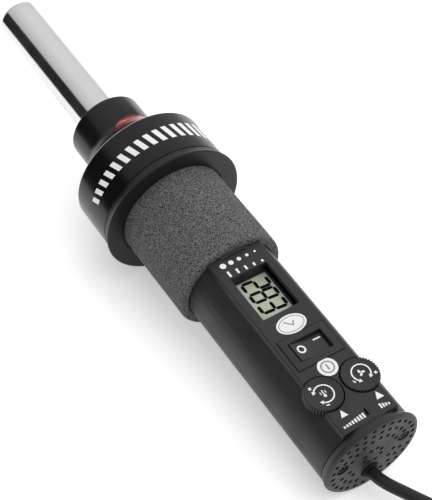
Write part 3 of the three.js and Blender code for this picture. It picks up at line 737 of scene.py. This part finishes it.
def add_front_housing():
    bore, inner, wall = BARREL_RADIUS + BARREL_PLAY, NECK_RADIUS - SHELL_WALL, NECK_FRONT + SHELL_WALL
    corners = [
        (NECK_FRONT, bore, 0.25),
        (NECK_FRONT, NECK_RADIUS, 0.9),
        *OUTER_FLARE[:-1],
        (-0.1, COLLAR_RADIUS, 0.9),
        (COLLAR_END, COLLAR_RADIUS, 0.35),
        (COLLAR_END, COLLAR_RADIUS - 2.4),
        *reversed(INNER_FLARE),
        (wall, inner),
        (wall, bore),
    ]
    profile = rounded(corners)
    shell = revolved(profile)
    mesh = softened(cut(shell, lens_blank(0.25, 6, 3)), 0.2, 2, 50)
    piece = finish_mesh("collar_housing", mesh, "gloss_black", sharp=40)
    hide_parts("front_housing")
    add_collar_edge([p for p in profile if abs(p.x + 0.1) < EDGE_HALF and p.y > COLLAR_RADIUS - 0.5])


def add_collar_edge(edge):
    """The collar's front corner, painted light grey as a painted highlight: a thin skin over the rounded
    edge.
    """
    outer = [p + Vector((-0.02, 0.03)) for p in edge]
    inner = [p - Vector((-0.06, 0.1)) for p in reversed(edge)]
    finish_mesh("collar_edge", revolved(outer + inner), "gloss_black", EDGE_HIGHLIGHT_PAINT)


def lens_blank(margin, below, above):
    """The part of the flare's skin that the lens fills, with a margin round it."""
    skin = [(NECK_END - 3, NECK_RADIUS), *OUTER_FLARE]
    shell = revolved([(s, r + above) for s, r in skin] + [(s, r - below) for s, r in reversed(skin)])
    reach = LENS_RADIUS + margin
    disc = pillar(*LENS_CENTRE, BARREL_RADIUS, FLANGE_RADIUS, reach)
    ahead = box_mesh((LENS_CENTRE[0] - 2 * reach, LENS_BACK + margin), (-FAR, FAR), (0, FAR))
    return combined(combined(shell, "INTERSECT", [disc]), "INTERSECT", [ahead])


def add_lens():
    mesh = softened(lens_blank(-0.1, 3, 0.35), 0.35, 3, 50)
    piece = finish_mesh("indicator_window", mesh, "red_lens", sharp=40)
    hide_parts("indicator_lens")


def add_flange():
    lip = COLLAR_RADIUS - LIP_PLAY
    corners = [
        (20.6, lip - 0.8),
        (20.6, lip),
        (FLANGE_FRONT, lip),
        (FLANGE_FRONT, COLLAR_RADIUS, 0.3),
        (26.4, COLLAR_RADIUS + 0.1, 2.5),
        (28.4, COLLAR_RADIUS + 0.8, 1.5),
        (29.3, FLANGE_RADIUS, 0.35),
        (FLANGE_BACK, FLANGE_RADIUS - 0.3, 0.25),
        (FLANGE_BACK, FLANGE_RECESS, 0.25),
        (FLANGE_FLOOR, FLANGE_RECESS),
        (FLANGE_FLOOR, FLANGE_BORE),
        (FLANGE_FRONT, FLANGE_BORE),
        (FLANGE_FRONT, lip - 0.8),
    ]
    mesh = revolved(rounded(corners))
    piece = finish_mesh("collar_flange", mesh, "gloss_black", MATERIALS["flange_black"], 40)
    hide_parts("collar_back_plate")


def round_axis(station, radius, degrees):
    """A point at a radius from the gun's axis, turned from the panel's side."""
    t = math.radians(degrees)
    return -station, radius * math.sin(t), radius * math.cos(t)


def add_collar_print():
    """A ramp of slanted bars printed round the collar."""
    low, high = RAMP_LEVELS
    bars = []
    for i in range(RAMP_BARS):
        share = i / (RAMP_BARS - 1)
        middle = RAMP_TURNS[0] + (RAMP_TURNS[1] - RAMP_TURNS[0]) * share
        front = RAMP_BACK - RAMP_LENGTHS[0] - (RAMP_LENGTHS[1] - RAMP_LENGTHS[0]) * share
        bar = []
        for k in range(7):
            turn = middle + RAMP_BAR_TURN * (k / 6 - 0.5)
            ring = [round_axis(front, radius, turn + RAMP_LEAN) for radius in (low, high)]
            ring += [round_axis(RAMP_BACK, radius, turn - RAMP_LEAN) for radius in (high, low)]
            bar.append(ring)
        bars.append(bar)
    finish_mesh("collar_level_ramp", lofted(*bars), "gloss_black", WHITE_INK)


def add_foam():
    """The foam sleeve, with the slight unevenness of a soft part stretched over the handle."""
    front, end = (FOAM_FRONT, FLANGE_BORE), (FOAM_END, FLANGE_BORE)
    outer = rounded([(FOAM_FRONT, FOAM_RADIUS, 0.9), (FOAM_END, FOAM_RADIUS, 4.6), end, front], 10)
    dense = []
    for a, b in zip(outer, [*outer[1:], outer[0]]):
        pieces = max(1, int((b - a).length / 1.2))
        dense += [a + (b - a) * k / pieces for k in range(pieces)]
    mesh = revolved(dense, 200)
    for vertex in mesh.vertices:
        x, y, z = vertex.co
        radius = math.hypot(y, z)
        if radius > FLANGE_BORE + 0.5:
            angle = math.atan2(y, z)
            wave = math.sin(3 * angle + x * 0.11) + 0.7 * math.sin(7 * angle - x * 0.23 + 1)
            share = 1 + (0.035 * wave - 0.03) / radius
            vertex.co.y *= share
            vertex.co.z *= share
    piece = finish_mesh("foam_sleeve", mesh, "foam", sharp=60)
    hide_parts("foam_grip")


add_barrel()
add_front_housing()
add_lens()
add_flange()
add_collar_print()
add_foam()


# ---- handle shells ----

HOLLOW_UPPER, HOLLOW_LOWER, HOLLOW_FRONT = 18, 20, 20
SWITCH_HALVES, SWITCH_WIDE, PANEL_SLOT = (6.7, 8.5), (9.8, 11.68), ((172.2, 175.6), (-1.2, -0.2))
POCKET_PLAY, POCKET_DROP, SHAFT_BORE, WALLS_EDGE, WALLS_HALF = 0.45, 0.4, 2.1, 1.5, 10.95
OUTSIDE, PAST_TAIL = 30, 190


def panel_outline():
    """The handle's section: round, with the raised flat-topped panel on it."""
    shoulder = math.degrees(math.acos(PANEL_HALF / HANDLE_RADIUS))
    turns = [180 - shoulder + (180 + 2 * shoulder) * i / 120 for i in range(121)]
    corners = [(PANEL_HALF, PANEL_TOP, 0.9), (-PANEL_HALF, PANEL_TOP, 0.9)]
    return rounded([*(polar(HANDLE_RADIUS, turn) for turn in turns), *corners])


def split_outline(outline, sign, gap=0.14):
    """One half of the section, above or below the parting line, with its small gap."""
    inside = [sign * p.y > gap for p in outline]
    start = next(i for i, kept in enumerate(inside) if kept and not inside[i - 1])
    kept = [outline[(start + i) % len(outline)] for i in range(sum(inside))]
    side = sign * math.sqrt(HANDLE_RADIUS**2 - gap**2)
    return [Vector((side, sign * gap)), *kept, Vector((-side, sign * gap))]


def handle_half(sign):
    """A half shell: round under the foam, and with the panel's section behind it."""
    circle = [polar(HANDLE_RADIUS, 3 * (i + 0.5)) for i in range(120)]
    front = swept(split_outline(circle, sign), HANDLE_FRONT, PANEL_FRONT + 1, "axis")
    rear = swept(split_outline(panel_outline(), sign), PANEL_FRONT, HANDLE_END + 0.1, "axis")
    return combined(rear, "UNION", [front])


def add_upper_shell():
    body, seat = ((SWITCH_STATION - half, SWITCH_STATION + half) for half in SWITCH_HALVES)
    body_wide, seat_wide = SWITCH_WIDE
    hollow = round_bar(HOLLOW_FRONT, PAST_TAIL, HOLLOW_UPPER, (0, 0), 96)
    window = box_mesh((WINDOW_FRONT, WINDOW_BACK), (-WINDOW_HALF, WINDOW_HALF), (12, OUTSIDE))
    switch = box_mesh(body, (-body_wide, body_wide), (10, OUTSIDE))
    frame_seat = box_mesh(seat, (-seat_wide, seat_wide), (PANEL_TOP - 1, OUTSIDE))
    slot = box_mesh(*PANEL_SLOT, (PANEL_TOP - 4, OUTSIDE))
    holes = [hollow, window, switch, frame_seat, slot]
    for across in (-KNOB_ACROSS, KNOB_ACROSS):
        low, radius = KNOB_LOW - POCKET_DROP, KNOB_RADIUS + POCKET_PLAY
        holes.append(pillar(KNOB_STATION, across, low, OUTSIDE, radius, 128))
        holes.append(pillar(KNOB_STATION, across, 8, OUTSIDE, SHAFT_BORE, 32))
    mesh = softened(cut(handle_half(1), *holes), 0.22, 2, 50)
    piece = finish_mesh("panel_shell", mesh, "handle_plastic", sharp=35)
    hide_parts("handle_upper_shell")


def add_lower_shell():
    mesh = cut(handle_half(-1), round_bar(HOLLOW_FRONT, PAST_TAIL, HOLLOW_LOWER, (0, 0), 96))
    mesh = softened(mesh, 0.15, 2, 50)
    piece = finish_mesh("under_shell", mesh, "handle_plastic", sharp=35)
    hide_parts("handle_lower_shell")


def add_window_walls():
    """The deep frame under the display window."""
    outer = rectangle(WINDOW_FRONT - WALLS_EDGE, WINDOW_BACK + WALLS_EDGE, -WALLS_HALF, WALLS_HALF)
    walls = swept(outer, 15.5, PANEL_TOP - 2.2, "normal")
    hole = box_mesh((WINDOW_FRONT, WINDOW_BACK), (-WINDOW_HALF, WINDOW_HALF), (10, OUTSIDE))
    finish_mesh("window_walls", cut(walls, hole), "handle_plastic", MATERIALS["dark_plastic"])


add_upper_shell()
add_lower_shell()
add_window_walls()


# ---- display ----

SEGMENTS = {"2": "abged", "8": "abcdefg", "3": "abgcd"}
READING, DIGIT_SIZE, DIGIT_THICK, DIGIT_SLANT, BAR_GAP = "283", (4.7, 11.7), 1.55, 0.08, 0.1
GLASS_LOW, GLASS_TOP, GLASS_OUTLINE = 13.2, 15.2, (88.8, 118.3, -11.2, 11.2)
# extent of the dark sheet that paints the window walls' shade onto the display
WALL_SHADE_FRONT, WALL_SHADE_ACROSS, WALL_SHADE_LEFT, WALL_SHADE_RIGHT = 91, -8.2, -9.9, 9.9


def segment_outline(kind):
    """One bar of a seven-bar digit, with pointed ends, in x across and y up the digit."""
    half_w, half_h, t = DIGIT_SIZE[0] / 2, DIGIT_SIZE[1] / 2, DIGIT_THICK / 2
    if kind in "agd":
        y = {"a": half_h, "g": 0, "d": -half_h}[kind]
        end, side = half_w - BAR_GAP, half_w - BAR_GAP - t
        return [(-end, y), (-side, y + t), (side, y + t), (end, y), (side, y - t), (-side, y - t)]
    x = half_w if kind in "bc" else -half_w
    low, high = (BAR_GAP, half_h - BAR_GAP) if kind in "bf" else (BAR_GAP - half_h, -BAR_GAP)
    return [(x, low), (x + t, low + t), (x + t, high - t), (x, high), (x - t, high - t), (x - t, low + t)]


def add_display():
    corners = rounded(rectangle(*GLASS_OUTLINE, 0.5))
    glass = softened(swept(corners, GLASS_LOW, GLASS_TOP, "normal"), 0.15)
    piece = finish_mesh("display_panel", glass, "display_glass")
    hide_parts("lcd_glass")
    # painted shade: a dark L-shaped sheet on the glass along its front and one side, where the window's walls
    # shade it
    front, back = WINDOW_FRONT - 1, WINDOW_BACK + 1
    wall_shade = [(front, WALL_SHADE_LEFT), (back, WALL_SHADE_LEFT), (back, WALL_SHADE_ACROSS)]
    wall_shade += [(WALL_SHADE_FRONT, WALL_SHADE_ACROSS), (WALL_SHADE_FRONT, WALL_SHADE_RIGHT), (front, WALL_SHADE_RIGHT)]
    wall_shade_sheet = stamped([wall_shade], GLASS_TOP - 0.05, GLASS_TOP + 0.02)
    finish_mesh("display_wall_shade", wall_shade_sheet, "display_glass", MATERIALS["dark_plastic"])
    for place, (digit, centre) in enumerate(zip(READING, DIGIT_STATIONS)):
        bars = []
        for kind in SEGMENTS[digit]:
            bars.append([(centre + x + DIGIT_SLANT * y, DIGIT_ACROSS - y) for x, y in segment_outline(kind)])
        mesh = stamped(bars, GLASS_TOP - 0.05, GLASS_TOP + 0.03)
        finish_mesh(f"digit_{place + 1}", mesh, "display_glass", DIGIT_BLACK)


add_display()


# ---- rocker switch ----

ROCKER_TOP, ROCKER_HOLLOW, ROCKER_HALF = 1.05, 0.55, 4.7
ROCKER_BELOW = [(-7.7, -0.2), (-3, -2.6), (3, -2.6), (7.7, -0.2)]
ON_START, ON_END, ON_SIDES = -6.6, -2.9, (-2.05, -2.75)
OFF_CENTRE, OFF_RADII = (-0.5, 4.3), (2.05, 1.25)


def add_switch_frame():
    """The snap-in frame: sloped sides with mitred corners round the well, and the body below."""
    levels = [
        (6.4, 9.5, 4.2),
        (6.4, 9.5, PANEL_TOP - 0.7),
        (8.25, 11.43, PANEL_TOP - 0.7),
        (8.25, 11.43, PANEL_TOP + 0.22),
        (7.95, 11.13, PANEL_TOP + 0.42),
        (5.25, 8.45, PANEL_TOP + 0.85),
        (5.0, 8.2, PANEL_TOP + 0.65),
        (5.0, 8.2, 14.4),
    ]
    rings = []
    for length, width, height in levels:
        corners = rectangle(-length, length, -width, width)
        rings.append([(-SWITCH_STATION - x, y, height) for x, y in corners])
    mesh = softened(lofted(rings), 0.12, 2, 8)
    piece = finish_mesh("switch_frame", mesh, "dark_plastic", MATERIALS["handle_plastic"], 30)
    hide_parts("switch_body")


def rocker_top(across):
    """The paddle's hollow top before it is tilted: low in the middle and high at both ends."""
    return ROCKER_TOP + ROCKER_HOLLOW * min(1, abs(across) / ROCKER_REACH) ** 1.3


def rocker_place(across, height):
    y = across * math.cos(ROCKER_TILT) - height * math.sin(ROCKER_TILT)
    return y, ROCKER_PIVOT + across * math.sin(ROCKER_TILT) + height * math.cos(ROCKER_TILT)


def add_rocker():
    stops = [ROCKER_REACH * (1 - i / 12) for i in range(25)]
    top = [(across, rocker_top(across)) for across in stops]
    outline = [rocker_place(*p) for p in top + ROCKER_BELOW]
    mesh = swept(outline, SWITCH_STATION - ROCKER_HALF, SWITCH_STATION + ROCKER_HALF, "axis")
    mesh = softened(mesh, 0.22, 3, 35)
    piece = finish_mesh("rocker_paddle", mesh, "rocker_plastic", sharp=35, body="rocker")
    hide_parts("switch_rocker")
    steps = [ON_START + (ON_END - ON_START) * i / 8 for i in range(9)]
    add_rocker_mark("on_mark", *([(station, y) for y in steps] for station in ON_SIDES), closed=False)
    add_rocker_mark("off_mark", *(ellipse(radius, radius, OFF_CENTRE) for radius in OFF_RADII))


def add_rocker_mark(name, outer, inner, closed=True):
    """A printed mark between two edges that follow the paddle's top."""
    loops = []
    for edge, lift in ((outer, 0.03), (inner, 0.03), (inner, -0.05), (outer, -0.05)):
        loop = []
        for station, across in edge:
            y, z = rocker_place(across, rocker_top(across) + lift)
            loop.append((-SWITCH_STATION - station, y, z))
        loops.append(loop)
    finish_mesh(name, tube(loops, closed), "rocker_plastic", WHITE_INK, body="rocker")


add_switch_frame()
add_rocker()


# ---- thumbwheels and printed marks ----

WHEEL_GROOVES, GROOVE_DEPTH, GROOVE_POWER, WHEEL_RECESS, WHEEL_BORE = 40, 0.6, 2.5, 0.12, (10, 20.5, 1.8)
WHEEL_SIDE = [(KNOB_LOW, 0.97), (KNOB_LOW + 0.2, 1), (KNOB_HIGH - 0.45, 1), (KNOB_HIGH - WHEEL_RECESS, 0.985)]
WHEEL_FACE = [(7.75, KNOB_HIGH), (7.4, KNOB_HIGH), (7.2, KNOB_HIGH - WHEEL_RECESS)]
ARROW_ENDS, SIGN_HALF, LEVEL_RAMP_END = (46, 314), 0.26, 175.9
OVAL_PLACE, ROUND_PLACE = (122.9, 0.3), (148.4, 0)


def arc_band(radius, half, start, end, steps=40):
    angles = [start + (end - start) * i / steps for i in range(steps + 1)]
    outer = [polar(radius + half, angle) for angle in angles]
    return outer + [polar(radius - half, angle) for angle in reversed(angles)]


def arrow_head(radius, angle, sign, length=1.5, half=0.95):
    """A triangle on the arc at angle, pointing along it."""
    at, out = polar(radius, angle), polar(half, angle)
    return [at + polar(sign * length, angle + 90), at + out, at - out]


def bar_outline(at, length, half, angle=0):
    at, way, side = Vector(at), polar(length / 2, angle), polar(half, angle + 90)
    return [at - way - side, at + way - side, at + way + side, at - way + side]


def add_marks(name, outlines, place=(0, 0), top=PANEL_TOP, ink=WHITE_INK, slot="handle_plastic", body="gun"):
    placed = [[(place[0] + x, place[1] + y) for x, y in outline] for outline in outlines]
    finish_mesh(name, stamped(placed, top - 0.06, top + 0.035), slot, ink, body=body)


def thumbwheel_mesh(across):
    """A wheel with rounded grooves round its edge and a slightly recessed top."""
    count = WHEEL_GROOVES * 10
    turns = [360 * i / count for i in range(count)]
    waves = [math.cos(math.radians(WHEEL_GROOVES * turn)) for turn in turns]
    edge = [KNOB_RADIUS - GROOVE_DEPTH * (0.5 - 0.5 * wave) ** GROOVE_POWER for wave in waves]
    levels = [([reach * share for reach in edge], height) for height, share in WHEEL_SIDE]
    levels += [([radius] * count, height) for radius, height in WHEEL_FACE]
    rings = []
    for reaches, height in levels:
        points = [polar(reach, turn) for reach, turn in zip(reaches, turns)]
        rings.append([(-KNOB_STATION - x, across + y, height) for x, y in points])
    return lofted(rings)


def fan_icon():
    return [ellipse(0.85, 0.5, polar(0.95, turn), turn + 25) for turn in (30, 150, 270)]


def heat_icon():
    bars = [bar_outline((-0.6, across), 1.4, 0.18) for across in (1.15, -1.15)]
    return [bar_outline((-0.75, 0), 2.2, 0.24), ellipse(0.72, 0.72, (1.0, 0)), *bars]


def add_knob(use, side, centre, radius, gap_at, icon):
    """A thumbwheel with a printed two-headed round arrow, plus, minus and an icon."""
    across = side * KNOB_ACROSS
    bore = pillar(KNOB_STATION, across, *WHEEL_BORE, 48)
    mesh = cut(thumbwheel_mesh(across), bore)
    body = f"{use}_control"
    piece = finish_mesh(f"{use}_thumbwheel", mesh, "knob_plastic", sharp=40, body=body)
    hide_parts(f"{use}_knob")
    start, end = gap_at + ARROW_ENDS[0], gap_at + ARROW_ENDS[1]
    outlines = [arc_band(radius, 0.3, start, end), arrow_head(radius, start, -1), arrow_head(radius, end, 1)]
    plus, minus, half = gap_at + 60 * side, gap_at - 66 * side, SIGN_HALF
    outlines.append(bar_outline(polar(6, plus), 1.5, half, plus + 90))
    outlines += [bar_outline(polar(6 + shift, plus), 0.5, half, plus) for shift in (-2 * half, 2 * half)]
    outlines.append(bar_outline(polar(5.5, minus), 1.5, half, minus + 90))
    face = KNOB_HIGH - WHEEL_RECESS
    add_marks(f"{use}_marks", outlines + icon, centre, face, slot="knob_plastic", body=body)


def level_ramp(start, end, bars):
    """Bars side by side across the panel, each longer than the last."""
    step = (end - start) / bars
    outlines = []
    for i in range(bars):
        low, high = start + step * (i + 0.18), start + step * (i + 0.78)
        length = 1.0 + 1.4 * i / (bars - 1)
        outlines.append(rectangle(LEVEL_RAMP_END - length, LEVEL_RAMP_END, low, high))
    return outlines


def add_panel_marks():
    triangles = [
        [(168.0, -9.55), (171.6, -7.75), (171.6, -11.4)],
        [(167.9, 7.9), (171.3, 9.6), (171.3, 6.3)],
    ]
    add_marks("index_triangles", triangles)
    add_marks("air_level_ramp", level_ramp(-11.5, -6.6, 4))
    add_marks("heater_level_ramp", level_ramp(11.7, 0.5, 8))
    icons = []
    for i in range(5):
        across, radius = 4.1 * (i - 2), 0.55 + 0.22 * i
        icons.append(ellipse(radius, radius, (82.6, across)))
        icons.append(bar_outline((88.6 - 0.25 * i, across), 1.2 + 0.5 * i, 0.5))
    add_marks("level_symbols", icons)


def add_ring_mark(name, outer, inner):
    """A flat printed ring between two outlines with the same number of points."""
    top, low = PANEL_TOP + 0.055, PANEL_TOP - 0.04
    section = ((outer, top), (inner, top), (inner, low), (outer, low))
    mesh = tube([[(-x, y, level) for x, y in outline] for outline, level in section])
    finish_mesh(name, mesh, "handle_plastic", GREY_INK)


def add_sticker(name, place, halves, ring_name, ring):
    """A pale sticker with a ring printed on it."""
    add_marks(name, [ellipse(*halves, steps=72)], place, ink=PALE_PAPER)
    add_ring_mark(f"{name}_{ring_name}", *(ellipse(*half, place, steps=72) for half in ring))


def add_stickers():
    add_sticker("oval_sticker", OVAL_PLACE, (4.75, 7.0), "line", ((3.9, 6.1), (3.5, 5.7)))
    add_sticker("round_sticker", ROUND_PLACE, (4.4, 4.4), "ring", ((3.1, 3.1), (2.4, 2.4)))
    tick = [(-1.1, -1.9), (1.35, -0.5), (-1.9, 2.8), (-2.4, 2.35), (0.4, -0.4), (-1.4, -1.35)]
    raised = PANEL_TOP + 0.02
    add_marks("oval_sticker_tick", [tick], OVAL_PLACE, raised, GREY_INK)
    add_marks("round_sticker_bar", [bar_outline((0, 0), 3.0, 0.4)], ROUND_PLACE, raised, GREY_INK)


add_knob("air", -1, (157.9, -9.9), 4.05, 0, fan_icon())
add_knob("heater", 1, (158.33, 9.06), 4.2, 82.5, heat_icon())
add_panel_marks()
add_stickers()


# ---- tail ----

CAP_START, CAP_FLOOR, CAP_WALL, CORD_HOLE, CORD_CLEAR = 170, 180.4, 2.4, 4.4, 6.2
SHANK_HOLE, HEAD_HOLE, HEAD_DEPTH, SCREW_CLEAR = 1.6, 2.9, 1.6, 4.4


def cap_section(station, radius, inset=0.0, steps=180):
    """A round section whose centre rises from the handle's axis as the cap swells."""
    rise = CAP_RISE * (radius - HANDLE_RADIUS) / (CAP_RADIUS - HANDLE_RADIUS)
    turns = [2 * math.pi * i / steps for i in range(steps)]
    reach = radius - inset
    return [(-station, reach * math.sin(t), rise + reach * math.cos(t)) for t in turns]


def vent_centres():
    """The vents in rings, apart from those that would meet a screw or the cord."""
    for radius, count in VENT_RINGS:
        for i in range(count):
            angle = 2 * math.pi * (i + 0.5) / count
            across, height = radius * math.sin(angle), CAP_RISE + radius * math.cos(angle)
            to_screw = math.hypot(abs(across) - SCREW_ACROSS, height - SCREW_HEIGHT)
            to_cord = math.hypot(across, height - CORD_HEIGHT)
            if to_screw > SCREW_CLEAR and to_cord > CORD_CLEAR:
                yield across, height


def add_tail_cap():
    sections = [
        cap_section(CAP_FRONT, HANDLE_RADIUS, 0.2),
        cap_section(CAP_FRONT + 0.2, HANDLE_RADIUS),
        cap_section(CAP_FRONT + 1.6, HANDLE_RADIUS + 0.6),
        cap_section(CAP_REST - 0.7, CAP_RADIUS - 0.05),
        cap_section(CAP_REST, CAP_RADIUS),
        cap_section(CAP_REST + 0.15, CAP_RADIUS, 0.05),
        cap_section(CAP_BACK - 0.1, CAP_RADIUS, 0.95),
        cap_section(CAP_BACK, CAP_RADIUS, 1.1),
    ]
    hollow = [cap_section(CAP_START, HANDLE_RADIUS, CAP_WALL)]
    hollow.append(cap_section(CAP_FLOOR, HANDLE_RADIUS + 0.8, CAP_WALL))
    holes = [lofted(hollow), round_bar(CAP_START, PAST_TAIL, CORD_HOLE, (0, CORD_HEIGHT), 48)]
    holes += [round_bar(CAP_FLOOR - 0.1, PAST_TAIL, VENT_RADIUS, at, 14) for at in vent_centres()]
    for at in ((-SCREW_ACROSS, SCREW_HEIGHT), (SCREW_ACROSS, SCREW_HEIGHT)):
        holes.append(round_bar(CAP_START + 5, PAST_TAIL, SHANK_HOLE, at, 24))
        holes.append(round_bar(CAP_BACK - HEAD_DEPTH, PAST_TAIL, HEAD_HOLE, at, 40))
    mesh = softened(cut(lofted(sections), *holes), 0.12, 1, 55)
    piece = finish_mesh("vented_cap", mesh, "handle_plastic", sharp=35)
    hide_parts("tail_cap")


def add_tail_screw(hand, side):
    centre = (side * SCREW_ACROSS, SCREW_HEIGHT)
    profile = [(168, 0), (168, 0.7), (169.5, 1.25), (182.1, 1.25), (182.1, 2.6)]
    profile += [(182.75, 2.55), (183.05, 2.1), (183.2, 1.4), (183.22, 0)]
    cross = [swept(bar_outline(centre, 3, 0.3, turn), 182.4, 185, "axis") for turn in (20, 110)]
    mesh = softened(cut(revolved(profile, 40, centre), *cross), 0.05, 1, 60)
    piece = finish_mesh(f"cap_screw_{hand}", mesh, "zinc_plate", MATERIALS["black_zinc"])
    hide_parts(f"tail_screw_{hand}")


def add_relief():
    corners = [
        (RELIEF_FRONT, 0),
        (RELIEF_FRONT, 3.2),
        (178, 3.7),
        (178, 6.2, 0.4),
        (180.1, 6.2, 0.4),
        (180.1, 4.05),
        (183.6, 4.1, 0.5),
        (RELIEF_END, 3.6, 0.4),
        (RELIEF_END, 0),
    ]
    mesh = revolved(rounded(corners), 64, (0, CORD_HEIGHT))
    # the bush takes the darker rubber as painted shade round the cord's exit
    piece = finish_mesh("cord_bush", mesh, "cord_rubber", SHADED_BUSH_RUBBER, 40)
    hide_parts("strain_relief")


add_tail_cap()
add_tail_screw("right", -1)
add_tail_screw("left", 1)
add_relief()


# ---- the pieces inside keep their CAD shape and get their finishes ----

slots = {part["node"]: part["material_slot"] for part in frame["record"]["subparts"]}
for node, piece in frame["nodes"].items():
    if not piece.hide_render:
        piece.data.materials.clear()
        piece.data.materials.append(MATERIALS[slots[node]])
